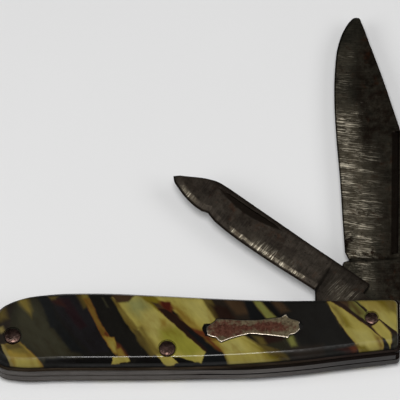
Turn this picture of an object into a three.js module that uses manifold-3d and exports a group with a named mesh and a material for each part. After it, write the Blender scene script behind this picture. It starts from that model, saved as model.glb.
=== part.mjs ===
import * as THREE from 'three';
import { mergeVertices } from 'three/addons/utils/BufferGeometryUtils.js';
import Module from 'manifold-3d';

// A folding pocket knife with two blades that turn on one pin, lying on its side with both
// blades part open. Millimetres. X runs along the handle towards the end with the pivot pin,
// Y towards the edge that the blades open from, and Z up through the thickness. The origin is
// on the flat outer face of the lower scale, half way along the handle. The pieces are drawn
// in a group whose own origin is the axis of the pivot pin, at the height of that lower face.

const wasm = await Module();
wasm.setup();

// Handle, as seen from above
const handleLength = 85.5;
const pivotFromSquareEnd = 6.0;
const originBelowPivot = 2.6;
const squareEndCorner = 1.0;
const outlineSteps = 108;
const cornerSteps = 6;

// Edges of the handle: how far along from the round end, as a share of its length, and the
// height above the pivot pin
const openingEdge = [
  [0.855, 4.83], [0.71, 4.83], [0.565, 5.28], [0.42, 5.95],
  [0.275, 6.46], [0.153, 6.17], [0.081, 5.05], [0.033, 2.83],
];
const openingHeightAtSquareEnd = 4.95;
const roundEndHeight = -3.3;
const backEdge = [
  [0.033, -9.65], [0.082, -10.7], [0.178, -10.6], [0.396, -10.5],
  [0.517, -10.3], [0.637, -9.8], [0.757, -8.94], [0.854, -7.9],
];
const backHeightAtSquareEnd = -6.7;
const backSlopeAtSquareEnd = 0.12;
const squareEndRun = 0.5;

// Thickness of each layer, from the table up
const scaleThickness = 2.6;
const linerThickness = 0.5;
const masterSpringThickness = 2.3;
const penSpringThickness = 2.2;

// The scales have shrunk back from the liners, and their outer edges are rounded
const scaleSetBack = 0.55;
const scaleRoundAtBack = 1.6;
const scaleRoundAtOpening = 1.0;
const scaleRoundAtEnd = 0.5;
const scaleWall = 0.9;
const scaleRoundSteps = 5;

// Pins
const pinSides = 24;
const domeSteps = 3;
const pinClearance = 0.05;
const pivotPinRadius = 1.2;
const pivotHeadRadius = 1.32;
const pivotHeadProud = 0.15;
const centerPinFromPivot = 42.05;
const centerPinHeight = -6.72;
const endPinFromRoundEnd = 5.65;
const endPinHeight = -3.97;
const fixedPinRadius = 1.1;
const fixedHeadRadius = 1.7;
const fixedHeadProud = 0.35;
const headSeatDepth = 0.5;
const lowerHeadRecess = 0.1;

// Springs. Their inner edge is given as it lies with a blade shut; here the tangs hold the free
// ends out by the difference between the tang's corner and its flat.
const tangFlat = 4.6;
const tangCorner = 5.1;
const runningClearance = 0.05;
const springNoseLength = 16;
const springArmDepth = 3.0;
const springHubRadius = 1.65;
const springHubFlat = 2.4;
const springRootLength = 9.0;
const springRampLength = 7.5;
const springRampDrop = 1.2;
const springLiftRun = 18;
const springCurveSteps = 36;
const penSpringShortfall = 1.0;

// Blades: sizes along the blade start at the pivot pin, sizes across it are positive towards
// the back of the blade
const sideClearance = 0.05;
const edgeThickness = 0.3;
const tangSteps = 16;
const plungeRadius = 1.8;
const plungeSteps = 6;
const pullDepth = 0.45;
const nickWheelSides = 240;

// Master blade
const masterBack = 6.6;
const masterTangEnd = 6.3;
const masterClip = [[42.0, 6.6], [45.2, 5.75], [50.0, 4.25], [57.4, 1.9], [64.9, -0.75], [70.3, -2.7]];
const masterTip = [71.6, -3.75];
const masterEdge = [
  [70.6, -5.15], [68.5, -6.37], [64.7, -7.6], [59.0, -8.17], [52.0, -8.21],
  [44.2, -7.74], [33.6, -6.75], [22.2, -5.91], [17.25, -5.49],
];
const masterNotch = [[15.25, -4.52], [14.65, -5.77]];
const masterKick = [14.08, -6.01];
const masterGroundFrom = 16.2;
const masterPullFrom = 16.9;
const masterPullTo = 44.8;
const masterPullBelowBack = 1.07;
const masterPullWidth = 1.55;
const masterClipSteps = 20;
const masterEdgeSteps = 30;
const masterAngle = 91.5;

// Pen blade
const penBack = 7.05;
const penTangEnd = 5.3;
const penBackLine = [[20.4, 7.05], [41.3, 7.4], [44.3, 7.22], [46.0, 6.7], [50.7, 4.3]];
const penTip = [52.5, 2.9];
const penEdge = [
  [52.0, 2.15], [50.1, 1.4], [47.75, 0.62], [45.1, 0.16], [43.3, 0.14],
];
const penChip = [[42.0, 0.55], [40.7, 0.1]];
const penEdgeRest = [[39.9, -0.16], [37.1, -0.49], [28.2, -0.8], [15.6, -0.54], [13.8, -0.5]];
const penKickFront = [12.84, -1.87];
const penKick = [10.5, -4.75];
const penGroundFrom = 14.6;
const penNickMiddle = 35.2;
const penNickLength = 17;
const penNickBelowBack = 0.75;
const penNickWidth = 1.5;
const penPointSteps = 16;
const penEdgeSteps = 15;
const penEdgeRestSteps = 16;
const penAngle = 36;

// Shield: one quarter of its outline, from the middle of the waist round to the end
const shieldFromPivot = 24.5;
const shieldHeight = -2.15;
const shieldTilt = 3.9;
const shieldQuarter = [
  [1.2, 1.55], [2.5, 1.75], [4.5, 2.15], [7.1, 2.62], [7.4, 1.85],
  [8.5, 1.6], [9.1, 1.1], [9.7, 0.8], [9.4, 0.0],
];
const shieldThickness = 0.6;
const shieldProud = 0.15;
const shieldPocketClearance = 0.1;
const shieldPocketFloorGap = 0.05;
const shieldEndGap = 0.55;
const shieldEndGapWidth = 2.6;
const shieldStudRadius = 0.7;
const shieldStudFromMiddle = 5.2;

// Looks
const frontCelluloid = { color: 0x8a803f, roughness: 0.3, metalness: 0 };
const backCelluloid = { color: 0x6a6238, roughness: 0.35, metalness: 0 };
const linerBrass = { color: 0x6b6352, roughness: 0.55, metalness: 0.8 };
const springSteel = { color: 0x77706c, roughness: 0.45, metalness: 0.9 };
const pinSteel = { color: 0x6a5a52, roughness: 0.5, metalness: 0.85 };
const masterSteel = { color: 0x5c5550, roughness: 0.45, metalness: 0.85 };
const penSteel = { color: 0x6a625c, roughness: 0.45, metalness: 0.85 };
const platedShield = { color: 0x8a7f6a, roughness: 0.5, metalness: 0.8 };

// How far cutting solids run past what they cut, and how near corners count as one
const cutOvershoot = 1;
const sameCorner = 1e-5;

// Places worked out from those sizes
const rightEnd = pivotFromSquareEnd;
const leftEnd = rightEnd - handleLength;
const squareEndStart = rightEnd - squareEndCorner - scaleSetBack - scaleRoundAtEnd - squareEndRun;
const backLinerBottom = scaleThickness;
const masterSlotBottom = backLinerBottom + linerThickness;
const centerLinerBottom = masterSlotBottom + masterSpringThickness;
const penSlotBottom = centerLinerBottom + linerThickness;
const frontLinerBottom = penSlotBottom + penSpringThickness;
const frontScaleBottom = frontLinerBottom + linerThickness;
const knifeTop = frontScaleBottom + scaleThickness;
const springLift = tangCorner - tangFlat;
const springLiftStart = -centerPinFromPivot + springHubFlat;
const centerPin = { x: -centerPinFromPivot, y: centerPinHeight };
const endPin = { x: leftEnd + endPinFromRoundEnd, y: endPinHeight };
const pivotPin = { x: 0, y: 0 };
const degrees = Math.PI / 180;
const quarterTurn = 90 * degrees;

/** A closed three.js geometry as a solid that can be cut and joined. */
function toSolid(geometry) {
  const bare = geometry.clone();
  bare.deleteAttribute('normal');
  bare.deleteAttribute('uv');
  const merged = mergeVertices(bare, sameCorner);
  return new wasm.Manifold(new wasm.Mesh({
    numProp: 3,
    vertProperties: new Float32Array(merged.attributes.position.array),
    triVerts: new Uint32Array(merged.index.array),
  }));
}

/** A solid as a three.js geometry. */
function toGeometry(solid) {
  const mesh = solid.getMesh();
  const geometry = new THREE.BufferGeometry();
  geometry.setAttribute('position', new THREE.BufferAttribute(mesh.vertProperties, 3));
  geometry.setIndex(new THREE.BufferAttribute(mesh.triVerts, 1));
  return geometry;
}

/** A smooth line through points given as [x, y] pairs. */
function smoothLine(pairs, steps) {
  const through = pairs.map(([x, y]) => new THREE.Vector3(x, y, 0));
  const curve = new THREE.CatmullRomCurve3(through, false, 'centripetal');
  return curve.getPoints(steps).map((point) => new THREE.Vector2(point.x, point.y));
}

/** The same line as [x, y] pairs. */
function smoothPairs(pairs, steps) {
  return smoothLine(pairs, steps).map((point) => [point.x, point.y]);
}

/** Points on an arc about a centre, both ends included. */
function arcPoints(center, radius, fromAngle, toAngle, steps) {
  const points = [];
  for (let step = 0; step <= steps; step += 1) {
    const angle = fromAngle + ((toAngle - fromAngle) * step) / steps;
    points.push(new THREE.Vector2(
      center.x + radius * Math.cos(angle),
      center.y + radius * Math.sin(angle),
    ));
  }
  return points;
}

/** The handle's outline, drawn in by its own amount at the opening edge, back and square end. */
function handleOutline(insetAtOpening, insetAtBack, insetAtEnd) {
  const place = ([share, height]) => [leftEnd + share * handleLength, height];
  const line = smoothLine([
    [squareEndStart, openingHeightAtSquareEnd],
    ...[...openingEdge, [0, roundEndHeight], ...backEdge].map(place),
    [squareEndStart, backHeightAtSquareEnd],
  ], outlineSteps);
  const drawnIn = line.map((point, index) => {
    const before = line[Math.max(index - 1, 0)];
    const after = line[Math.min(index + 1, line.length - 1)];
    const along = after.clone().sub(before).normalize();
    const towardsOpening = (1 - along.x) / 2;
    const inset = THREE.MathUtils.lerp(insetAtBack, insetAtOpening, towardsOpening);
    return new THREE.Vector2(point.x - along.y * inset, point.y + along.x * inset);
  });
  const end = rightEnd - insetAtEnd;
  const radius = squareEndCorner;
  const first = drawnIn[0];
  const last = drawnIn[drawnIn.length - 1];
  const backRise = backSlopeAtSquareEnd * (end - radius - last.x);
  const lowerCenter = { x: end - radius, y: last.y + backRise + radius };
  const upperCenter = { x: end - radius, y: first.y - radius };
  return [
    ...drawnIn,
    ...arcPoints(lowerCenter, radius, -quarterTurn, 0, cornerSteps),
    ...arcPoints(upperCenter, radius, 0, quarterTurn, cornerSteps),
  ];
}

/** A closed solid through outlines of equally many points, each at its own height. */
function stackedSolid(outlines, heights) {
  const count = outlines[0].length;
  const positions = [];
  outlines.forEach((outline, layer) => {
    outline.forEach((point) => positions.push(point.x, point.y, heights[layer]));
  });
  const index = [];
  for (let layer = 0; layer + 1 < outlines.length; layer += 1) {
    for (let here = 0; here < count; here += 1) {
      const next = (here + 1) % count;
      const low = layer * count;
      const high = low + count;
      index.push(low + here, low + next, high + next);
      index.push(low + here, high + next, high + here);
    }
  }
  const top = (outlines.length - 1) * count;
  const bottomCap = THREE.ShapeUtils.triangulateShape(outlines[0], []);
  bottomCap.forEach(([a, b, c]) => index.push(a, c, b));
  const topCap = THREE.ShapeUtils.triangulateShape(outlines[outlines.length - 1], []);
  topCap.forEach(([a, b, c]) => index.push(top + a, top + b, top + c));
  const geometry = new THREE.BufferGeometry();
  geometry.setAttribute('position', new THREE.Float32BufferAttribute(positions, 3));
  geometry.setIndex(index);
  return toSolid(geometry);
}

/** A flat plate of one outline between two heights. */
function plate(outline, bottom, top) {
  return stackedSolid([outline, outline], [bottom, top]);
}

/** An upright round bar. */
function roundBar(place, radius, bottom, top) {
  const geometry = new THREE.CylinderGeometry(radius, radius, top - bottom, pinSides);
  geometry.rotateX(quarterTurn);
  geometry.translate(place.x, place.y, (bottom + top) / 2);
  return toSolid(geometry);
}

/** A solid with holes for the pins, each with its clearance, all the way through. */
function drilled(solid, holes) {
  let cut = solid;
  holes.forEach(([pin, radius]) => {
    const hole = roundBar(pin, radius + pinClearance, -cutOvershoot, knifeTop + cutOvershoot);
    cut = cut.subtract(hole);
  });
  return cut;
}

const knife = new THREE.Group();
knife.position.set(handleLength / 2 - pivotFromSquareEnd, originBelowPivot, 0);

/** Adds a named piece to a group. */
function addPiece(group, name, solid, look) {
  const mesh = new THREE.Mesh(toGeometry(solid), new THREE.MeshStandardMaterial(look));
  mesh.name = name;
  group.add(mesh);
}

const allPins = [
  [pivotPin, pivotPinRadius], [centerPin, fixedPinRadius], [endPin, fixedPinRadius],
];
const fixedPins = allPins.slice(1);

// Scales: the outer edge is a quarter ellipse over a short upright wall
const scaleOutlines = [handleOutline(scaleSetBack, scaleSetBack, scaleSetBack)];
const scaleHeights = [0];
for (let step = 0; step <= scaleRoundSteps; step += 1) {
  const angle = (step / scaleRoundSteps) * quarterTurn;
  const share = 1 - Math.cos(angle);
  scaleOutlines.push(handleOutline(
    scaleSetBack + scaleRoundAtOpening * share,
    scaleSetBack + scaleRoundAtBack * share,
    scaleSetBack + scaleRoundAtEnd * share,
  ));
  scaleHeights.push(scaleWall + (scaleThickness - scaleWall) * Math.sin(angle));
}
const headSeats = [
  [pivotPin, pivotHeadRadius], [centerPin, fixedHeadRadius], [endPin, fixedHeadRadius],
];

/** A scale with its seats for the pin heads. */
function scaleSolid(outerFaceUp) {
  const face = outerFaceUp ? knifeTop : 0;
  const heights = scaleHeights.map((height) => (
    outerFaceUp ? frontScaleBottom + height : scaleThickness - height
  ));
  const ordered = outerFaceUp ? scaleOutlines : [...scaleOutlines].reverse();
  const levels = outerFaceUp ? heights : [...heights].reverse();
  const reach = headSeatDepth + pinClearance;
  let scale = drilled(stackedSolid(ordered, levels), allPins);
  headSeats.forEach(([pin, radius]) => {
    scale = scale.subtract(roundBar(pin, radius + pinClearance, face - reach, face + reach));
  });
  return scale;
}

// Shield: four quarters of one outline, the far corners first
const shieldSigns = [[1, 1], [-1, 1], [-1, -1], [1, -1]];

/** The shield's outline, grown all round, in the shield's own turned place on the handle. */
function shieldOutline(growth) {
  const points = [];
  shieldSigns.forEach(([alongSign, acrossSign], quarter) => {
    const ordered = quarter % 2 === 0 ? [...shieldQuarter].reverse() : shieldQuarter;
    ordered.forEach(([along, across]) => {
      const repeatedEnd = across === 0 && quarter % 2 === 1;
      if (!repeatedEnd) {
        const far = along + growth;
        const wide = across === 0 ? 0 : across + growth;
        points.push(new THREE.Vector2(alongSign * far, acrossSign * wide));
      }
    });
  });
  const middle = new THREE.Vector2(-shieldFromPivot, shieldHeight);
  return points.map((point) => (
    point.rotateAround(new THREE.Vector2(), shieldTilt * degrees).add(middle)
  ));
}

/** A place on the shield's long axis. */
function onShieldAxis(along) {
  return {
    x: -shieldFromPivot + along * Math.cos(shieldTilt * degrees),
    y: shieldHeight + along * Math.sin(shieldTilt * degrees),
  };
}

const shieldTop = knifeTop + shieldProud;
const shieldBottom = shieldTop - shieldThickness;
const pocketFloor = shieldBottom - shieldPocketFloorGap;
const shieldEnd = Math.max(...shieldQuarter.map(([along]) => along));
const studPlaces = [-shieldStudFromMiddle, shieldStudFromMiddle].map(onShieldAxis);

/** The pocket for the shield: a close fit along its sides and a gap past each end. */
function shieldPocket() {
  const above = knifeTop + cutOvershoot;
  let pocket = plate(shieldOutline(shieldPocketClearance), pocketFloor, above);
  const gapRadius = shieldEndGapWidth / 2;
  const gapMiddle = shieldEnd + shieldEndGap - gapRadius;
  [-gapMiddle, gapMiddle].map(onShieldAxis).forEach((place) => {
    pocket = pocket.add(roundBar(place, gapRadius, pocketFloor, above));
  });
  studPlaces.forEach((place) => {
    const radius = shieldStudRadius + pinClearance;
    pocket = pocket.add(roundBar(place, radius, frontScaleBottom - cutOvershoot, above));
  });
  return pocket;
}

let shieldSolid = plate(shieldOutline(0), shieldBottom, shieldTop);
studPlaces.forEach((place) => {
  shieldSolid = shieldSolid.add(roundBar(place, shieldStudRadius, frontScaleBottom, shieldTop));
});

addPiece(knife, 'back_scale', scaleSolid(false), backCelluloid);
addPiece(knife, 'front_scale', scaleSolid(true).subtract(shieldPocket()), frontCelluloid);
addPiece(knife, 'shield', shieldSolid, platedShield);

const linerOutline = handleOutline(0, 0, 0);

/** Adds a liner: the handle's whole outline, with a hole for each pin. */
function addLiner(name, bottom) {
  const liner = drilled(plate(linerOutline, bottom, bottom + linerThickness), allPins);
  addPiece(knife, name, liner, linerBrass);
}

addLiner('back_liner', backLinerBottom);
addLiner('center_liner', centerLinerBottom);
addLiner('front_liner', frontLinerBottom);

/** How far the tangs hold a spring out at a place along it. */
function liftAt(x) {
  const liftEnd = springLiftStart + springLiftRun;
  return springLift * THREE.MathUtils.smoothstep(x, springLiftStart, liftEnd);
}

/** The height of the handle's back edge at a place along it. */
function backHeightAt(x) {
  const share = (x - leftEnd) / handleLength;
  const next = backEdge.findIndex(([along]) => along > share);
  const [fromShare, fromHeight] = backEdge[next - 1];
  const [toShare, toHeight] = backEdge[next];
  return THREE.MathUtils.mapLinear(share, fromShare, toShare, fromHeight, toHeight);
}

/** The region of a slot that a spring fills, from its inner edge out past the handle's back. */
function springRegion(freeEnd) {
  const nose = -(tangFlat + runningClearance);
  const hubTop = centerPin.y + springHubRadius;
  const rootTop = endPin.y + springHubRadius;
  const rootEnd = leftEnd + springRootLength;
  const armRight = (-springNoseLength + centerPin.x) / 2;
  const armLeft = (rootEnd + centerPin.x) / 2;
  const armRightTop = backHeightAt(armRight) + springArmDepth;
  const armLeftTop = backHeightAt(armLeft) + springArmDepth;
  const inner = smoothLine([
    [-springNoseLength, nose],
    [armRight, armRightTop],
    [centerPin.x + springHubFlat, hubTop],
    [centerPin.x - springHubFlat, hubTop],
    [armLeft, armLeftTop],
    [rootEnd + springRampLength, armLeftTop + springRampDrop],
    [rootEnd, rootTop],
  ], springCurveSteps);
  const below = Math.min(...backEdge.map(([, height]) => height)) - cutOvershoot;
  return [
    new THREE.Vector2(freeEnd, below),
    new THREE.Vector2(freeEnd, nose),
    ...inner,
    new THREE.Vector2(leftEnd - cutOvershoot, rootTop),
    new THREE.Vector2(leftEnd - cutOvershoot, below),
  ];
}

/** A spring: the handle's back edge outside, its own edge inside, its free end held out. */
function springSolid(freeEnd, bottom, top) {
  const blank = plate(linerOutline, bottom, top);
  const region = plate(springRegion(freeEnd), bottom - cutOvershoot, top + cutOvershoot);
  const flat = drilled(blank.intersect(region), fixedPins);
  const geometry = toGeometry(flat);
  const position = geometry.attributes.position;
  for (let vertex = 0; vertex < position.count; vertex += 1) {
    position.setY(vertex, position.getY(vertex) - liftAt(position.getX(vertex)));
  }
  return toSolid(geometry);
}

const masterSpring = springSolid(rightEnd, masterSlotBottom, centerLinerBottom);
const penSpring = springSolid(rightEnd - penSpringShortfall, penSlotBottom, frontLinerBottom);
addPiece(knife, 'master_spring', masterSpring, springSteel);
addPiece(knife, 'pen_spring', penSpring, springSteel);

/** A pin: a shank with a low head let into each scale, the upper one domed. */
function pinSolid(place, shankRadius, headRadius, proud) {
  const rim = knifeTop;
  const profile = [
    [0, lowerHeadRecess], [headRadius, lowerHeadRecess], [headRadius, headSeatDepth],
    [shankRadius, headSeatDepth], [shankRadius, rim - headSeatDepth],
    [headRadius, rim - headSeatDepth], [headRadius, rim],
  ].map(([x, y]) => new THREE.Vector2(x, y));
  for (let step = 1; step <= domeSteps; step += 1) {
    const angle = (step / domeSteps) * quarterTurn;
    profile.push(new THREE.Vector2(
      step === domeSteps ? 0 : headRadius * Math.cos(angle),
      rim + proud * Math.sin(angle),
    ));
  }
  const geometry = new THREE.LatheGeometry(profile, pinSides);
  geometry.rotateX(quarterTurn);
  geometry.translate(place.x, place.y, 0);
  return toSolid(geometry);
}

const pins = [
  ['pivot_pin', pivotPin, pivotPinRadius, pivotHeadRadius, pivotHeadProud],
  ['center_pin', centerPin, fixedPinRadius, fixedHeadRadius, fixedHeadProud],
  ['end_pin', endPin, fixedPinRadius, fixedHeadRadius, fixedHeadProud],
];
pins.forEach(([name, place, shank, head, proud]) => {
  addPiece(knife, name, pinSolid(place, shank, head, proud), pinSteel);
});

/** A blade's outline: tip towards -X and back towards +Y, as it lies when shut. */
function bladeOutline(blade) {
  const at = ([along, across]) => new THREE.Vector2(-along, across);
  const [kickAlong, kickAcross] = blade.kick;
  const kickAngle = Math.atan2(kickAcross, -kickAlong);
  const flatNormal = kickAngle + Math.acos(tangFlat / Math.hypot(kickAlong, kickAcross));
  const cornerSpread = Math.acos(tangFlat / tangCorner);
  const roundFrom = flatNormal + cornerSpread;
  const roundTo = quarterTurn - cornerSpread;
  const round = arcPoints({ x: 0, y: 0 }, tangCorner, roundFrom, roundTo, tangSteps);
  return [
    at([blade.tangEnd, blade.back]),
    ...blade.upper.map(at),
    ...blade.lower.map(at),
    at(blade.kick),
    ...round,
    at([blade.tangEnd, tangFlat]),
  ];
}

/** The slope of a blade's ground faces, from full thickness at the back to a thin edge. */
function grindSlope(blade) {
  const deepest = Math.min(...blade.lower.map(([, across]) => across));
  return Math.atan((blade.thickness - edgeThickness) / 2 / (blade.back - deepest));
}

/** Lays a cutter, drawn over a level ground face, on one of a blade's sloping ground faces. */
function layOnGrind(geometry, blade, side) {
  geometry.rotateX(side * grindSlope(blade));
  geometry.translate(0, blade.back, side > 0 ? blade.thickness : 0);
  return toSolid(geometry);
}

/** What is ground off one face of a blade: a flat that runs out in a curve at the tang. */
function grindCut(blade, side) {
  const farEnd = -(blade.tip[0] + plungeRadius);
  const profile = new THREE.Shape();
  profile.moveTo(farEnd, side * plungeRadius);
  profile.lineTo(farEnd, 0);
  profile.lineTo(-blade.groundFrom, 0);
  const center = { x: -blade.groundFrom, y: side * plungeRadius };
  const runOut = arcPoints(center, plungeRadius, -side * quarterTurn, 0, plungeSteps);
  runOut.slice(1).forEach((point) => profile.lineTo(point.x, point.y));
  const across = blade.back + blade.tip[0];
  const geometry = new THREE.ExtrudeGeometry(profile, { depth: across, bevelEnabled: false });
  geometry.rotateX(quarterTurn);
  geometry.translate(0, plungeRadius, 0);
  return layOnGrind(geometry, blade, side);
}

/**
 * A straight pull: steep on the side of the back, sloping out to the face on the other. The
 * cutter goes on at the same slope as far above the face as below it.
 */
function pullCut(blade, from, to, belowBack, width) {
  const profile = new THREE.Shape();
  profile.moveTo(-belowBack, pullDepth);
  profile.lineTo(-belowBack - 2 * width, pullDepth);
  profile.lineTo(-belowBack, -pullDepth);
  const geometry = new THREE.ExtrudeGeometry(profile, { depth: to - from, bevelEnabled: false });
  geometry.rotateZ(quarterTurn);
  geometry.rotateY(quarterTurn);
  geometry.translate(-to, 0, 0);
  return layOnGrind(geometry, blade, 1);
}

/**
 * A crescent nick, as a thin wheel leaves it: one straight side and one bowed side. The wheel's
 * radius is the one whose arc of the given length is as deep as the nick.
 */
function nickCut(blade, middle, length, belowBack, width) {
  const radius = (length / 2) ** 2 / (2 * pullDepth) + pullDepth / 2;
  const flank = pullDepth / width;
  const wheelWidth = 2 * width;
  const geometry = new THREE.CylinderGeometry(
    radius, radius - flank * wheelWidth, wheelWidth, nickWheelSides,
  );
  geometry.translate(-middle, -belowBack - wheelWidth / 2, radius - pullDepth);
  return layOnGrind(geometry, blade, 1);
}

/** A blade with its ground faces, its pull and its pivot hole, turned out to its angle. */
function addBlade(name, blade, openerCut, slotBottom, angle, look) {
  const blank = plate(bladeOutline(blade), 0, blade.thickness);
  const ground = blank.subtract(grindCut(blade, 1)).subtract(grindCut(blade, -1));
  const solid = drilled(ground.subtract(openerCut), [[pivotPin, pivotPinRadius]]);
  const turned = new THREE.Group();
  turned.position.z = slotBottom + sideClearance;
  turned.rotation.z = -angle * degrees;
  knife.add(turned);
  addPiece(turned, name, solid, look);
}

const masterBlade = {
  thickness: masterSpringThickness - 2 * sideClearance,
  back: masterBack,
  tangEnd: masterTangEnd,
  tip: masterTip,
  upper: smoothPairs([...masterClip, masterTip], masterClipSteps),
  lower: [...smoothPairs([masterTip, ...masterEdge], masterEdgeSteps).slice(1), ...masterNotch],
  kick: masterKick,
  groundFrom: masterGroundFrom,
};
const masterPull = pullCut(
  masterBlade, masterPullFrom, masterPullTo, masterPullBelowBack, masterPullWidth,
);
addBlade('master_blade', masterBlade, masterPull, masterSlotBottom, masterAngle, masterSteel);

const penBlade = {
  thickness: penSpringThickness - 2 * sideClearance,
  back: penBack,
  tangEnd: penTangEnd,
  tip: penTip,
  upper: [penBackLine[0], ...smoothPairs([...penBackLine.slice(1), penTip], penPointSteps)],
  lower: [
    ...smoothPairs([penTip, ...penEdge], penEdgeSteps).slice(1),
    ...penChip, ...smoothPairs(penEdgeRest, penEdgeRestSteps), penKickFront,
  ],
  kick: penKick,
  groundFrom: penGroundFrom,
};
const penNick = nickCut(penBlade, penNickMiddle, penNickLength, penNickBelowBack, penNickWidth);
addBlade('pen_blade', penBlade, penNick, penSlotBottom, penAngle, penSteel);

export default knife;
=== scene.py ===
# %% [markdown]
# # A folding pocket knife in Blender
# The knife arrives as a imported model: thirteen plain solids in real sizes, already in place. In
# this lesson each of them gets the surface that the real one has: polished marbled celluloid,
# ground carbon steel with a dark patina, peened pins and a worn inlaid shield. New surfaces are
# worked out in millimetres with numpy and turned to metres when they become a mesh.

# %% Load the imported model
from math import radians

import bmesh
import bpy
import numpy as np
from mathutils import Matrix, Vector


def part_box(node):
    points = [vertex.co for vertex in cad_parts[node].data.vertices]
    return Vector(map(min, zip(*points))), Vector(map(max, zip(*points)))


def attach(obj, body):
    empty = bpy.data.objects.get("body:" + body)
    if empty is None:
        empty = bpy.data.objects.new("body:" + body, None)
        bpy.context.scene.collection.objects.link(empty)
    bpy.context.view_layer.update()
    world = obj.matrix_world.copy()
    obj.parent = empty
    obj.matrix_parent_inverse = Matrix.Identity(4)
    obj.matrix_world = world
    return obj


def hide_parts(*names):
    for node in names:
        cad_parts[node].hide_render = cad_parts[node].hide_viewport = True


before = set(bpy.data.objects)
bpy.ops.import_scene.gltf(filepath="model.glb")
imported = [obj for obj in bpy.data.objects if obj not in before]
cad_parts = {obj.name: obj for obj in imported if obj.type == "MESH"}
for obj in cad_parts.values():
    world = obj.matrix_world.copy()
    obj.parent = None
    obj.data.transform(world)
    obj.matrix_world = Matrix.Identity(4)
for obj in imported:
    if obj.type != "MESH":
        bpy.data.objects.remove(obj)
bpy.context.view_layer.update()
MM = 0.001
print("pieces in the packed model:", len(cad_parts))

# %% [markdown]
# The camera looks down steeply from the side of the springs, 900 mm away, with a long lens. It
# is set by the point it looks at, its height angle and its distance, all in millimetres.

# %% Camera
CAMERA_AIM = np.array([1.43, 31.16, 6.0])
CAMERA_HEIGHT = radians(67)
CAMERA_DISTANCE = 900.0
PIXELS_PER_MM = 4.772
IMAGE_WIDTH = 400


def new_object(name, data):
    """An object in the scene that holds a camera, a lamp or a mesh."""
    made = bpy.data.objects.new(name, data)
    bpy.context.scene.collection.objects.link(made)
    return made


towards_camera = np.array([0, -np.cos(CAMERA_HEIGHT), np.sin(CAMERA_HEIGHT)])
lens = bpy.data.cameras.new("product_camera")
camera = new_object("product_camera", lens)
bpy.context.scene.camera = camera
camera.location = (CAMERA_AIM + CAMERA_DISTANCE * towards_camera) * MM
camera.rotation_euler = (radians(90) - CAMERA_HEIGHT, 0, 0)
lens.sensor_width = 36
lens.lens = PIXELS_PER_MM * CAMERA_DISTANCE / IMAGE_WIDTH * lens.sensor_width
lens.clip_start = 0.01
bpy.context.scene.view_settings.view_transform = "Standard"
print("lens in mm:", round(lens.lens, 1))

# %% [markdown]
# Small helpers are shared by all materials. Colours are picked as sRGB hex values, as on a screen,
# and Blender computes with linear light, so one function turns them. Another adds any shader node:
# its inputs are given in order, or by name, and each is a plain value or the output of another
# node. A material begins with Object coordinates in millimetres, so that every pattern below is in
# real size. Its colours are laid over each other like coats, each as strong as a share from 0 to
# 1.

# %% Colours and shader nodes
def linear(hex_colour):
    """sRGB to linear light: small values are divided by 12.92, others follow a 2.4 power."""
    parts = np.array([int(hex_colour[i:i + 2], 16) for i in (1, 3, 5)]) / 255
    light = np.where(parts <= 0.04045, parts / 12.92, ((parts + 0.055) / 1.055) ** 2.4)
    return (*light.tolist(), 1.0)


def add(tree, kind, inputs=(), out=0, **settings):
    """
    Adds a shader node, sets it, fills or links its inputs, and gives one of its outputs. A second
    word in its kind is its operation.
    """
    kind, _, operation = kind.partition(" ")
    node = tree.nodes.new("ShaderNode" + kind)
    if operation:
        node.operation = operation
    for name, value in settings.items():
        setattr(node, name, value)
    for name, value in (inputs if isinstance(inputs, dict) else dict(enumerate(inputs))).items():
        if isinstance(value, bpy.types.NodeSocket):
            tree.links.new(value, node.inputs[name])
        else:
            node.inputs[name].default_value = value
    return node.outputs[out] if node.outputs else node


def begin(name):
    """A material with a Principled shader: itself, its tree, the shader and the place in mm."""
    material = bpy.data.materials.new(name)
    material.use_nodes = True
    tree = material.node_tree
    tree.nodes.clear()
    surface = add(tree, "BsdfPrincipled")
    add(tree, "OutputMaterial", {"Surface": surface})
    here = add(tree, "TexCoord", out="Object")
    place = add(tree, "VectorMath MULTIPLY", (here, [1 / MM] * 3))
    return material, tree, surface.node, place


def layered(tree, colour, layers):
    """Lays coats over a colour in turn. Each is a share and a tint: a hex value or an output."""
    for share, tint in layers:
        coat = linear(tint) if isinstance(tint, str) else tint
        colour = add(tree, "Mix", {0: share, 6: colour, 7: coat}, 2, data_type="RGBA")
    return colour


print("white in linear light:", linear("#ffffff"))

# %% [markdown]
# Every new shape here is a skin over rings: closed loops with equally many points, such as
# outlines that lie one above the other, or the sections of a blade. They make a grid, whose points
# a formula gives all at once, and four neighbours in the grid make a face.

# %% Skins over rings
def shade(mesh, sharp_angle):
    """Shades a mesh smooth, apart from the edges whose faces meet at more than the angle."""
    mesh.shade_smooth()
    mesh.set_sharp_from_angle(angle=radians(sharp_angle))


def skin(name, rings, sharp_angle=35, end_cap=True):
    """
    An object through rings in mm that run anticlockwise, from the lowest to the highest: quads
    between the rings, a face over the first one and, for a closed solid, one over the last.
    """
    rings = np.asarray(rings)
    index = np.arange(rings[..., 0].size).reshape(rings.shape[:2])
    here, over = index[:-1], index[1:]
    quads = np.stack([here, np.roll(here, -1, 1), np.roll(over, -1, 1), over], -1)
    faces = [*quads.reshape(-1, 4).tolist(), index[0][::-1].tolist()]
    if end_cap:
        faces.append(index[-1].tolist())
    mesh = bpy.data.meshes.new(name)
    mesh.from_pydata((rings.reshape(-1, 3) * MM).tolist(), [], faces)
    mesh.validate()
    shade(mesh, sharp_angle)
    return new_object(name, mesh)


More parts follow.
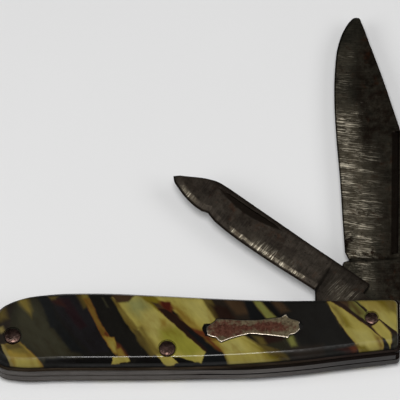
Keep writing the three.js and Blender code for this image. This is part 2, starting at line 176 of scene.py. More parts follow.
def turned(radius, height, count, middle=(0, 0), waves=()):
    """
    Rings of a profile turned about an upright axis. Waves put them out of round: each is a number
    of crests all round, a share of the radius and a start.
    """
    around = np.linspace(0, 2 * np.pi, count + 1)[:-1]
    share = np.ones(count)
    for crests, size, start in waves:
        share += size * np.sin(crests * around + start)
    spread = np.array(radius)[:, None] * share
    return np.stack([
        middle[0] + spread * np.cos(around), middle[1] + spread * np.sin(around),
        np.array(height)[:, None] + 0 * around,
    ], -1)


print("a tube of two rings with eight points each:", turned([1, 1], [0, 1], 8).shape)

# %% [markdown]
# The knife lies on a pale sweep: a level floor that curves up into a wall, as in a photographer's
# studio, so that no horizon shows. It is a profile turned about the upright axis, on a grid of
# angle and distance, and wide enough that a low camera doesn't see past it.

# %% Floor
SWEEP_RADIUS = 2200.0
SWEEP_BEND = 500.0
SWEEP_WALL = 350.0

bend = np.linspace(0, np.pi / 2, 25)
reach = np.concatenate([[1.0, SWEEP_RADIUS], SWEEP_RADIUS + SWEEP_BEND * np.sin(bend)[1:]])
rise = np.concatenate([[0.0, 0.0], SWEEP_BEND * (1 - np.cos(bend))[1:]])
reach, rise = np.append(reach, reach[-1]), np.append(rise, rise[-1] + SWEEP_WALL)
sweep = skin("studio_sweep", turned(reach, rise, 96), end_cap=False)

material, tree, shader, place = begin("pale painted studio sweep")
paint = add(tree, "TexNoise", {"Vector": place, "Scale": 0.02, "Detail": 3})
colour = layered(tree, linear("#dfdfdf"), [(paint, "#e2e2e2")])
tree.links.new(colour, shader.inputs["Base Color"])
shader.inputs["Roughness"].default_value = 0.9
shader.inputs["Specular IOR Level"].default_value = 0.1
sweep.data.materials.append(material)
print("sweep points:", len(sweep.data.vertices))

# %% [markdown]
# The light is plain and soft: a lamp nearly overhead, a wider and weaker one on each side, and a
# faint even sky that opens up the shadows.

# %% Lamps
def soft_lamp(name, around, height, distance, size, watts):
    """A square lamp at an angle around and above the knife, facing it. Sizes in mm."""
    lamp = bpy.data.lights.new(name, "AREA")
    lamp.size = size * MM
    lamp.energy = watts
    holder = new_object(name, lamp)
    flat = np.cos(radians(height))
    away = np.array([
        flat * np.sin(radians(around)), -flat * np.cos(radians(around)), np.sin(radians(height)),
    ])
    holder.location = away * distance * MM
    holder.rotation_euler = (radians(90 - height), 0, radians(around))


soft_lamp("front_lamp", around=-5, height=78, distance=800, size=210, watts=3.9)
soft_lamp("left_lamp", around=-75, height=48, distance=900, size=500, watts=2.2)
soft_lamp("right_lamp", around=80, height=50, distance=900, size=500, watts=1.6)

world = bpy.data.worlds.new("even_sky")
bpy.context.scene.world = world
world.use_nodes = True
world.node_tree.nodes["Background"].inputs["Color"].default_value = linear("#ffffff")
world.node_tree.nodes["Background"].inputs["Strength"].default_value = 0.12

# %% [markdown]
# ## The handle's outline
# All the layers of the handle share one outline, and the solid liner already has it as a string
# of corners. They are read from its top face, put in order by their angle about the middle, and
# joined by a smooth curve. The square end is left out and drawn again as two small arcs, so that
# the corner stays the same however far the outline is drawn in.

# %% Outline helpers
CLOSE = 0.01


def top_corners(node):
    """The [x, y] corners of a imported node's highest level, in mm."""
    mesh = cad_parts[node].data
    points = np.empty(len(mesh.vertices) * 3)
    mesh.vertices.foreach_get("co", points)
    points = points.reshape(-1, 3) / MM
    is_top = points[:, 2].max() - points[:, 2] < CLOSE
    return np.unique(points[is_top, :2].round(3), axis=0)


def centre_of(node):
    """The [x, y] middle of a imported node, in mm."""
    low, high = np.array(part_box(node)) / MM
    return (low + high)[:2] / 2


def lengths_along(points):
    """How far each point is from the first one, along the straight lines between them."""
    return np.concatenate([[0], np.cumsum(np.linalg.norm(np.diff(points, axis=0), axis=1))])


def left_of(steps):
    """Unit vectors a quarter turn to the left of each [x, y] step."""
    unit = steps / np.linalg.norm(steps, axis=1)[:, None]
    return np.column_stack([-unit[:, 1], unit[:, 0]])


def through(points, per_span):
    """A smooth open curve: each span is a cubic whose slopes come from the neighbours."""
    points = np.asarray(points, float)
    chord = lengths_along(points)
    slope = np.gradient(points, chord, axis=0)
    t = np.linspace(0, 1, per_span + 1)[:-1, None, None]
    span = np.diff(chord)[:, None]
    curve = (
        (2 * t**3 - 3 * t**2 + 1) * points[:-1] + (t**3 - 2 * t**2 + t) * span * slope[:-1]
        + (3 * t**2 - 2 * t**3) * points[1:] + (t**3 - t**2) * span * slope[1:]
    )
    return np.vstack([curve.transpose(1, 0, 2).reshape(-1, points.shape[1]), points[-1:]])


PINS = {name: centre_of(name) for name in ("pivot_pin", "center_pin", "end_pin")}
PIN_HOLE = 2.0
SQUARE_END = 42.75
CORNER_RADIUS = 1.0
CORNER_STARTS = 2.55
BACK_SLOPE = 0.12

liner_corners = top_corners("front_liner")
from_pins = np.min([np.linalg.norm(liner_corners - at, axis=1) for at in PINS.values()], axis=0)
before_corner = liner_corners[:, 0] < SQUARE_END - CORNER_STARTS + CLOSE
is_long_side = (from_pins > PIN_HOLE) & before_corner
long_side = liner_corners[is_long_side]
# the angle of each about the handle's middle, at y = -1
angle = np.arctan2(long_side[:, 1] + 1, long_side[:, 0]) % (2 * np.pi)
long_side = through(long_side[np.argsort(angle)], per_span=6)
inward = left_of(np.gradient(long_side, axis=0))


def handle_outline(at_opening, at_back, at_end):
    """
    The handle's outline, drawn in by its own amount in mm at the opening, back and end. The first
    two may differ from point to point along the long side.
    """
    share = ((1 - inward[:, 1]) / 2)[:, None]
    side = long_side + inward * (at_back + (at_opening - at_back) * share)
    end = SQUARE_END - at_end - CORNER_RADIUS
    rise = BACK_SLOPE * (end - side[-1, 0])
    arc = np.linspace(0, np.pi / 2, 13)
    corner = np.column_stack([np.sin(arc), -np.cos(arc)]) * CORNER_RADIUS
    lower = corner + [end, side[-1, 1] + rise + CORNER_RADIUS]
    upper = corner[::-1] * [1, -1] + [end, side[0, 1] - CORNER_RADIUS]
    return np.vstack([side, lower, upper])


print("outline points:", len(handle_outline(0, 0, 0)))

# %% [markdown]
# ## Scales
# A scale is a slab of celluloid whose outer edge was filed over and polished. Across the edge it
# goes up a short wall, bends, runs in over a slope that is nearly flat, and bends again into the
# level top. A rounding with the formula of a superellipse does that with one number: a power of
# 2 gives a plain quarter circle and a lower one flattens the slope and tightens both bends, which
# makes the thin bright line along the real edge. Each ring of the solid is the handle's outline
# drawn in by that much.

# %% Scales
SCALE_FOOT = 8.6
SCALE_WALL = 0.9
SCALE_THICKNESS = 2.6
SHRUNK_BACK = 0.55
BEND_WIDTHS = (1.0, 1.6, 0.5)
TOP_RING = (1.25, 2.0, 0.65)
BEND_POWER = 1.55
END_BEND_POWER = 1.95

# the power grows over 12 mm, from 20 mm on either side of x = -6, in a smooth step
near_ends = np.clip((np.abs(long_side[:, :1] + 6) - 20) / 12, 0, 1)
side_power = BEND_POWER + (END_BEND_POWER - BEND_POWER) * near_ends**2 * (3 - 2 * near_ends)


def level(outline, height):
    """An outline of [x, y] points at one height, or at a height of its own for each point."""
    return np.column_stack([outline, np.broadcast_to(height, len(outline))])


def drawn_share(quarter, power):
    """How far a ring is drawn in, from 0 at the wall to 1 at the level top."""
    return 1 - np.cos(quarter) ** (2 / power)


def scale_rings():
    """
    Rings up a wall, over the bent edge and a little way in over the level top. The widths of the
    bend and of the last ring differ at the opening, back and end.
    """
    opening, back, end = BEND_WIDTHS
    rings = [level(handle_outline(SHRUNK_BACK, SHRUNK_BACK, SHRUNK_BACK), 0.0)]
    for quarter in np.linspace(0, np.pi / 2, 22):
        share = drawn_share(quarter, side_power)
        outline = handle_outline(
            SHRUNK_BACK + opening * share, SHRUNK_BACK + back * share,
            SHRUNK_BACK + end * drawn_share(quarter, END_BEND_POWER),
        )
        powers = np.full(len(outline), END_BEND_POWER)
        powers[:len(side_power)] = side_power[:, 0]
        rise = (SCALE_THICKNESS - SCALE_WALL) * np.sin(quarter) ** (2 / powers)
        rings.append(level(outline, SCALE_WALL + rise))
    inner = handle_outline(*[SHRUNK_BACK + width for width in TOP_RING])
    return np.array([*rings, level(inner, SCALE_THICKNESS)])


front_rings = scale_rings() + [0, 0, SCALE_FOOT]
back_rings = (scale_rings() * [1, 1, -1] + [0, 0, SCALE_THICKNESS])[::-1]
front_scale = skin("celluloid_front_scale", front_rings, sharp_angle=50)
back_scale = skin("celluloid_back_scale", back_rings, sharp_angle=50)
print("scale faces:", len(front_scale.data.polygons))

# %% [markdown]
# Seats for the pin heads and a pocket for the shield are sunk into the scales. A Boolean modifier
# subtracts a plain cutter for each, and its result replaces the mesh, so that nothing is left to
# compute later. The pivot pin's seat is narrower than the others, because its head is small. The
# back scale needs nothing else, and the front one is cut when the shield's outline is known.

# %% Pin seats
TOP = 11.2
SEATS = {"pivot_pin": 1.55, "center_pin": 1.95, "end_pin": 1.95}
SEAT_DEPTH = 0.55


def disc(name, middle, radius, low, high):
    """A round cutter between two heights."""
    return skin(name, turned([radius, radius], [low, high], 96, middle))


def cut(piece, cutters, sharp_angle=50):
    """Subtracts the cutters from a piece, keeps the result as its mesh and removes them."""
    for cutter in cutters:
        modifier = piece.modifiers.new("cut", "BOOLEAN")
        modifier.solver = "EXACT"
        modifier.object = cutter
    evaluated = piece.evaluated_get(bpy.context.evaluated_depsgraph_get())
    mesh = bpy.data.meshes.new_from_object(evaluated)
    piece.modifiers.clear()
    piece.data = mesh
    shade(mesh, sharp_angle)
    for cutter in cutters:
        bpy.data.objects.remove(cutter)


cut(back_scale, [
    disc("seat", PINS[name], radius, -1, SEAT_DEPTH) for name, radius in SEATS.items()
])
print("seats cut in the back scale:", len(SEATS))

# %% [markdown]
# ## Shield
# The shield is a thin stamped plate, let into the front scale. Its outline is drawn once, as a
# string of corners in millimetres, and its corners are softened as on a worn stamping, by a
# weighted mean over the neighbours of each point.

# %% Shield outline
SHIELD_CORNERS = [
    (2.7, 0.4), (3.1, 0.85), (4.3, 1.7), (4.95, 2.45), (6.6, 2.35), (9.7, 2.15), (13.4, 2.15),
    (15.9, 2.5), (18.1, 2.75), (19.2, 3.45), (19.6, 2.6), (21.2, 2.15), (22.1, 1.8), (21.8, 1.05),
    (22.1, 0.15), (21.0, -0.95), (19.8, -1.2), (19.6, -1.85), (17.9, -1.6), (14.8, -1.2),
    (11.7, -0.95), (9.7, -1.4), (7.6, -2.05), (5.75, -2.85), (5.1, -2.3), (4.75, -1.75),
    (3.9, -1.65), (2.9, -1.2),
]


def softened(corners, spacing, radius):
    """
    A closed outline with evenly spaced points. Each becomes the mean of the points around it, with
    weights that fall off as a bell curve of that radius. A Fourier transform averages all at once.
    """
    loop = np.vstack([corners, corners[:1]])
    chord = lengths_along(loop)
    count = int(chord[-1] / spacing)
    at = np.arange(count) * chord[-1] / count
    even = np.column_stack([np.interp(at, chord, loop[:, i]) for i in (0, 1)])
    reach = np.arange(count) * spacing
    reach = np.minimum(reach, count * spacing - reach)
    weight = np.exp(-0.5 * (reach / radius) ** 2)
    weight /= weight.sum()
    spread = np.fft.fft(even, axis=0) * np.fft.fft(weight)[:, None]
    return np.fft.ifft(spread, axis=0).real


def drawn_in(outline, amount):
    """A closed anticlockwise outline moved inwards along its own normals."""
    return outline + amount * left_of(np.roll(outline, -1, 0) - np.roll(outline, 1, 0))


def shield_outline(inset):
    """The shield's outline drawn in by inset mm, and softened the more, the further in it is."""
    return drawn_in(softened(SHIELD_CORNERS[::-1], spacing=0.1, radius=0.13 + inset), inset)


print("shield outline points:", len(shield_outline(0)))

# %% [markdown]
# The plate is skinned like a scale, with a worn rounded rim. One corner has sprung up: the rim
# curls up there, by a bell curve of the distance from that corner, and the curl fades out inside
# the rim. The pocket in the scale is a little wider than the plate and leaves a dark gap, which
# opens into a small round notch at either end. The floor of the left notch is also painted black,
# as shade, by a chip of the celluloid.

# %% Shield plate
SHIELD_TOP = 11.35
INSETS = np.array([0.0, 0.0, 0.03, 0.07, 0.15, 0.22, 0.35])
DROPS = np.array([0.6, 0.12, 0.07, 0.035, 0.01, 0.0, 0.0])
SPRUNG_CORNER = np.array([19.0, 3.3])
SPRUNG_HEIGHT = 0.12
SPRUNG_REACH = 1.1
RIM_WIDTH = 0.22
POCKET_GAP = 0.12
POCKET_HEIGHTS = (10.65, 12.0)
NOTCHES = [((2.9, 0.1), 1.0), ((21.35, 0.75), 1.25)]


def store(piece, name, values):
    """Stores a number, or a vector of three, for each point of a piece's mesh."""
    kind, field = ("FLOAT_VECTOR", "vector") if values.shape[-1] == 3 else ("FLOAT", "value")
    piece.data.attributes.new(name, kind, "POINT").data.foreach_set(field, values.ravel())


shield_rings = np.array([
    level(shield_outline(inset), SHIELD_TOP - drop) for inset, drop in zip(INSETS, DROPS)
])
from_corner = np.linalg.norm(shield_rings[..., :2] - SPRUNG_CORNER, axis=-1)
lift = SPRUNG_HEIGHT * np.exp(-((from_corner / SPRUNG_REACH) ** 2))
shield_rings[..., 2] += lift * np.clip(1 - INSETS / RIM_WIDTH, 0, 1)[:, None]
shield = skin("nickel_plated_shield", shield_rings, sharp_angle=60)
store(shield, "from_rim", np.repeat(INSETS, shield_rings.shape[1]))

pocket_outline = drawn_in(shield_outline(0), -POCKET_GAP)
pocket = skin("pocket", [level(pocket_outline, height) for height in POCKET_HEIGHTS])
end_gaps = [disc("gap", at, radius, *POCKET_HEIGHTS) for at, radius in NOTCHES]
seats = [
    disc("seat", PINS[name], radius, TOP - SEAT_DEPTH, TOP + 1) for name, radius in SEATS.items()
]
cut(front_scale, [pocket, *end_gaps, *seats])
print("front scale faces after cutting:", len(front_scale.data.polygons))

# %% [markdown]
# ## Pins
# The ends of the pins were hammered over into low heads. A head is a profile turned about the
# pin's axis, and hammering leaves it a little out of round, so small waves go round its radius.
# Each pin has a shank, which is hidden, and a flush head on the underside.

# %% Pins
HEAD_DEPTH = 0.5


def peened_pin(name, middle, shank, head, proud):
    """
    A turned profile: flush head, shank, and a head that stands proud as a dome. Shank and head are
    radii in mm, and two waves put the rings out of round.
    """
    dome = np.linspace(0, np.pi / 2, 14)[:-1]
    radius = np.concatenate([
        [0.05, head - 0.1, head, head, shank, shank, head, head], head * np.cos(dome), [0.05],
    ])
    height = np.concatenate([
        [0.1, 0.1, 0.16, HEAD_DEPTH, HEAD_DEPTH, TOP - HEAD_DEPTH, TOP - HEAD_DEPTH, TOP - 0.12],
        TOP - 0.1 + (proud + 0.1) * np.sin(dome), [TOP + proud],
    ])
    waves = [(3, 0.012, middle[0]), (7, 0.008, 0)]
    return skin(name, turned(radius, height, 72, middle, waves), sharp_angle=50)


PIN_SIZES = {
    "pivot_pin": (1.2, 1.32, 0.12), "center_pin": (1.1, 1.7, 0.33), "end_pin": (1.1, 1.7, 0.33),
}
pins = [peened_pin("peened_" + name, PINS[name], *sizes) for name, sizes in PIN_SIZES.items()]
print("pins at:", {name: at.round(2).tolist() for name, at in PINS.items()})

# %% [markdown]
# ## Liners
# The liners are thin sheets between the scales and the springs. They keep the handle's whole
# outline, and their edges are rounded by years in a pocket.

# %% Liners
EDGE_ROUND = [(0.14, 0.0), (0.04, 0.04), (0.0, 0.12)]


def liner(name, foot, thickness=0.5):
    """The handle's outline as a sheet whose edges are rounded above and below."""
    lower = [(inset, foot + up) for inset, up in EDGE_ROUND]
    upper = [(inset, foot + thickness - up) for inset, up in EDGE_ROUND[::-1]]
    return skin(name, [
        level(handle_outline(inset, inset, inset), height) for inset, height in lower + upper
    ], sharp_angle=70)


LINER_FEET = {"back": 2.6, "center": 5.4, "front": 8.1}
liners = [liner(f"brass_{which}_liner", foot) for which, foot in LINER_FEET.items()]
print("liners:", len(liners))

# %% [markdown]
# ## Blades
# A blade is one surface on a grid. The first parameter goes along the blade and picks the upper
# and lower limit of its outline there. The second goes round the section: down one face from the
# back to the cutting edge and up the other. The grid is closer where the shape turns sharply: at
# both ends, along the back and the edge, and on every corner of the outline.

# %% Blade grid
BACK_ROUND = 0.14


def in_order(points):
    """An outline's points sorted from the tip to the tang. Equal places keep their order."""
    points = np.asarray(points)
    return points[np.argsort(points[:, 0], kind="stable")]


def stations(low, high, marks, spacing=0.25):
    """Places along the blade: even steps, closer near both ends and on each mark."""
    even = np.arange(low, high, spacing)
    fine = 1.2 * (1 - np.cos(np.linspace(0, np.pi / 2, 16)))
    return np.unique(np.concatenate([even, low + fine, high - fine, marks]).round(4))


def across_rows():
    """Distances down from the back, as (mm near the back, share of the rest)."""
    corner = BACK_ROUND * (1 - np.cos(np.linspace(0, np.pi / 2, 6)))
    near = np.concatenate([corner, np.arange(0.25, 3.3, 0.12)])
    rest = np.linspace(0, 1, 34)[1:-1]
    edge = 1 - np.linspace(0.055, 0, 10)[1:]
    return near, np.concatenate([rest[rest < 0.94], edge])


print("points across one face of a blade:", sum(map(len, across_rows())))

# %% [markdown]
# The thickness at a place is the least of a few plain formulas: the full thickness of the tang,
# the ground flat that thins evenly away from the back, the curve where the grinding wheel ran out,
# and the steep little bevel of the cutting edge. The back is rounded, and so is the tang's edge.
# Each point also stores its place on the blade and the depth of the groove there, for the steel's
# pattern. Last, the blade is turned about the pivot pin, from shut to how the photograph shows it.

# %% Blade surface
GROUND_EDGE = 0.3
RUN_OUT = 1.8
BEVEL_WIDTH = 0.35
BEVEL_STOPS = 0.6
BLUNT = 0.02
LEAST_HALF = 0.01
LEAST_FLOOR = 0.05
FULL_DEPTH = 7.0


def blade_surface(name, thickness, back, upper, lower, ground_from, hollow, angle, foot):
    """
    The blade's closed surface. hollow(along, under_back) gives the depth of the opener's groove
    at a place along the blade and a distance under the line of its back. Lengths are in mm.
    """
    upper, lower = in_order(upper), in_order(lower)
    tip, end = upper[0, 0], lower[-1, 0]
    x = stations(tip, end, np.concatenate([upper[:, 0], lower[:, 0]]))
    high = np.interp(x, upper[:, 0], upper[:, 1])[:, None]
    low = np.interp(x, lower[:, 0], lower[:, 1])[:, None]
    deep = high - low
    near, rest = across_rows()
    squeeze = np.minimum(1, deep / FULL_DEPTH)
    start = near[-1] * squeeze
    below = np.hstack([near * squeeze, start + (deep - start) * rest])
    x = x[:, None] + 0 * below
    y = high - below

    slope = (thickness - GROUND_EDGE) / 2 / (back - lower[:, 1].min())
    ran_out = np.clip(x + ground_from, 0, RUN_OUT)
    wheel = RUN_OUT - np.sqrt(np.maximum(RUN_OUT**2 - ran_out**2, 0))
    wheel = np.where(x + ground_from >= RUN_OUT, thickness, wheel)
    half = np.minimum(thickness / 2, thickness / 2 - slope * (back - y) + wheel)
    from_edge = y - low
    bevel = BLUNT + from_edge * (GROUND_EDGE / 2) / BEVEL_WIDTH
    bevel_end = -ground_from + BEVEL_STOPS
    half = np.where(x < bevel_end, np.minimum(half, bevel), half)
    in_corner = np.clip(1 - below / BACK_ROUND, 0, 1)
    half = half - BACK_ROUND * (1 - np.sqrt(1 - in_corner**2))
    tang_corner = np.clip(1 - from_edge / BACK_ROUND, 0, 1) * (x > bevel_end)
    half = half - BACK_ROUND * (1 - np.sqrt(1 - tang_corner**2))
    closing = np.sqrt(np.clip((x - tip) / 0.5, 0, 1)) * np.sqrt(np.clip((end - x) / 0.2, 0, 1))
    half = np.maximum(half, LEAST_HALF) * closing

    groove = hollow(-x, back - y)
    floor = np.maximum(half - groove, LEAST_FLOOR * closing)
    face_up = np.stack([x, y, thickness / 2 + floor], -1)
    face_down = np.stack([x, y, thickness / 2 - half], -1)
    section = np.concatenate([face_up, face_down[:, ::-1]], axis=1)
    tags = np.stack([-x, y, from_edge], -1)
    tags = np.concatenate([tags, tags[:, ::-1]], axis=1)
    darkening = np.concatenate([groove, 0 * groove], axis=1)

    turn = -radians(angle)
    spun = np.array([[np.cos(turn), np.sin(turn), 0], [-np.sin(turn), np.cos(turn), 0], [0, 0, 1]])
    points = section.reshape(-1, 3) @ spun + [*PINS["pivot_pin"], foot]
    piece = skin(name, points.reshape(section.shape), sharp_angle=32)
    store(piece, "blade_place", tags)
    store(piece, "groove_depth", darkening)
    return piece


print("thickness above the edge's bevel in mm:", GROUND_EDGE)

# %% [markdown]
# Both blades end in the same kind of tang: a round end about the pivot pin, which the spring's
# end slides over, with flats for the open and for the shut blade, and a kick that keeps the edge
# off the spring. Its outline is drawn as two arcs.

# %% Tang
TANG_FLAT = 4.6
TANG_CORNER = 5.1
CORNER_SPREAD = np.degrees(np.arccos(TANG_FLAT / TANG_CORNER))


def arc(radius, from_angle, to_angle, count):
    """Points of an arc about the pivot."""
    swing = np.radians(np.linspace(from_angle, to_angle, count))
    return radius * np.column_stack([np.cos(swing), np.sin(swing)])


def shut(pairs):
    """Sizes along and across a blade as points of the shut blade, whose tip is towards -x."""
    return np.array(pairs, float) * [-1, 1]


def tang_arcs(kick):
    """The tang's round end: from its kick's flat, round the corner, to the flat of its back."""
    kick_angle = np.degrees(np.arctan2(kick[1], -kick[0]))
    flat = kick_angle + np.degrees(np.arccos(TANG_FLAT / np.hypot(*kick)))
    lower = arc(TANG_CORNER, flat + CORNER_SPREAD, 0, 24)
    upper = arc(TANG_CORNER, 0, 90 - CORNER_SPREAD, 24)
    return lower, upper[::-1]


print("a tang's corner reaches this many degrees beyond its flat:", round(CORNER_SPREAD, 1))

# %% [markdown]
# The master blade is a clip point: its back runs straight and then falls in a shallow curve to
# the tip. Its opener is a long straight groove, cut by a wheel that was run along the blade.

# %% Master blade
PULL_DEPTH = 0.45
master_tip = [71.6, -3.75]
master_clip = [
    [42.0, 6.6], [45.2, 5.75], [50.0, 4.25], [57.4, 1.9], [64.9, -0.75], [70.3, -2.7],
    [71.3, -3.15], master_tip,
]
master_belly = [
    master_tip, [71.45, -4.3], [70.6, -5.15], [68.5, -6.37], [64.7, -7.6], [59.0, -8.17],
    [52.0, -8.21], [44.2, -7.74], [33.6, -6.75], [22.2, -5.91], [17.25, -5.49],
]
master_kick = [14.08, -6.01]
lower_arc, upper_arc = tang_arcs(master_kick)
master_upper = np.vstack([
    through(shut(master_clip), 10)[::-1], shut([[6.3, 6.6], [6.29, 4.6]]), upper_arc,
])
master_lower = np.vstack([
    through(shut(master_belly), 10), shut([[15.25, -4.52], [14.65, -5.77], master_kick]),
    lower_arc,
])


def straight_groove(along, under_back, start=16.9, stop=44.8, top=1.07, width=1.55):
    """Deepest under its upper wall, and shallower in proportion down to the face."""
    share = 1 - (under_back - top) / width
    inside = (along > start) & (along < stop) & (under_back >= top) & (share > 0)
    return PULL_DEPTH * share * inside


master_blade = blade_surface(
    "carbon_steel_master_blade", thickness=2.2, back=6.6, upper=master_upper, lower=master_lower,
    ground_from=16.2, hollow=straight_groove, angle=91.5, foot=3.15,
)
print("master blade faces:", len(master_blade.data.polygons))

# %% [markdown]
# The pen blade is a small spear point with a crescent nail nick, cut by a thin wheel from above.
# A wheel leaves a groove whose depth at a place is the height of its circle there, so its outline
# is straight on the side of the back and bowed on the other.

# %% Pen blade
pen_tip = [52.85, 3.15]
pen_back = [[41.3, 7.4], [44.3, 7.22], [46.0, 6.7], [50.7, 4.3], pen_tip]
pen_point = [pen_tip, [52.05, 2.3], [50.1, 1.4], [47.75, 0.62], [45.1, 0.16], [43.3, 0.14]]
pen_chip = [[42.6, 0.42], [42.0, 0.55], [41.4, 0.3], [40.7, 0.1]]
pen_belly = [[39.9, -0.16], [37.1, -0.49], [28.2, -0.8], [15.6, -0.54], [13.8, -0.5]]
pen_kick = [10.5, -4.75]
lower_arc, upper_arc = tang_arcs(pen_kick)
pen_upper = np.vstack([
    through(shut(pen_back), 10)[::-1], shut([[20.4, 7.05], [5.3, 7.05], [5.29, 4.6]]), upper_arc,
])
pen_lower = np.vstack([
    through(shut(pen_point), 8), shut(pen_chip), through(shut(pen_belly), 8),
    shut([[12.84, -1.87], pen_kick]), lower_arc,
])


def crescent_nick(along, under_back, middle=35.2, length=17.0, top=0.75, width=1.5):
    """The height of a wheel's circle over the face, whose radius falls off across the nick."""
    radius = (length / 2) ** 2 / (2 * PULL_DEPTH) + PULL_DEPTH / 2
    over = radius - PULL_DEPTH / width * (under_back - top)
    height = np.sqrt(np.maximum(over**2 - (along - middle) ** 2, 0)) - (radius - PULL_DEPTH)
    return np.where(under_back >= top, np.maximum(height, 0), 0)


pen_blade = blade_surface(
    "carbon_steel_pen_blade", thickness=2.1, back=7.05, upper=pen_upper, lower=pen_lower,
    ground_from=14.6, hollow=crescent_nick, angle=36, foot=5.95,
)
print("pen blade faces:", len(pen_blade.data.polygons))

# %% [markdown]
# Where a blade's surface closes to a point, its last ring has no width. Merging points that
# coincide turns that ring into one corner, and leaves no faces without an area.

# %% Close the tips
for piece in (master_blade, pen_blade):
    work = bmesh.new()
    work.from_mesh(piece.data)
    bmesh.ops.remove_doubles(work, verts=work.verts, dist=1e-7)
    work.to_mesh(piece.data)
    work.free()
print("blade points:", len(master_blade.data.vertices), len(pen_blade.data.vertices))

# %% [markdown]
# ## Marbled celluloid
# Celluloid is a clear plastic. For knife scales it was coloured, cut into slanting chips, and
# pressed into a block again, so that straw, amber, brown and black pieces with straight sides and
# drawn-out points run right through the sheet. A chip is drawn here as a flat shape with straight
# sides. A dot product tells how far a place is inside of one side, the least of these distances
# tells how far it is inside of the chip, and a smooth step over a fraction of a millimetre turns
# that into a border as sharp or as melted as on the real sheet.

# %% One chip
SMOOTH = {"interpolation_type": "SMOOTHSTEP"}
RIM_TINT = "#6e2c10"


def lay_chip(tree, place, below, tint, soft, rim, corners):
    """
    Lays a chip over a colour. Its corners (x, y, x, y ...) are in tenths of a millimetre and go
    round it without a dent.
    """
    corners = np.reshape(corners, (-1, 2)) / 10
    after = np.roll(corners, -1, 0)
    area = (corners[:, 0] * after[:, 1] - corners[:, 1] * after[:, 0]).sum()
    inward = left_of(after - corners) * np.sign(area)
    offset = -(inward * corners).sum(1)
    inside = None
    for direction in np.column_stack([inward, offset]).tolist():
        depth = add(tree, "VectorMath DOT_PRODUCT", (place, direction), "Value")
        inside = add(tree, "Math MINIMUM", (inside, depth)) if inside else depth
    cover = add(tree, "MapRange", (inside, -soft, soft), **SMOOTH)
    layers = [(cover, tint)]
    if rim:
        rest = add(tree, "Math SUBTRACT", (1.0, cover))
        edge = add(tree, "Math MULTIPLY", (cover, rest))
        glow = add(tree, "Math MULTIPLY", (edge, rim), use_clamp=True)
        layers.append((glow, RIM_TINT))
    return layered(tree, below, layers)


print("colour of the thin rim round a pale chip:", RIM_TINT)

# %% [markdown]
# The dyes are named once. The chips are listed from the round end to the square end, in the order
# in which they cover each other: dye, half width of the border in mm, strength of the amber rim
# where a pale chip melted into a dark one, and then x and y of each corner in tenths of a mm.

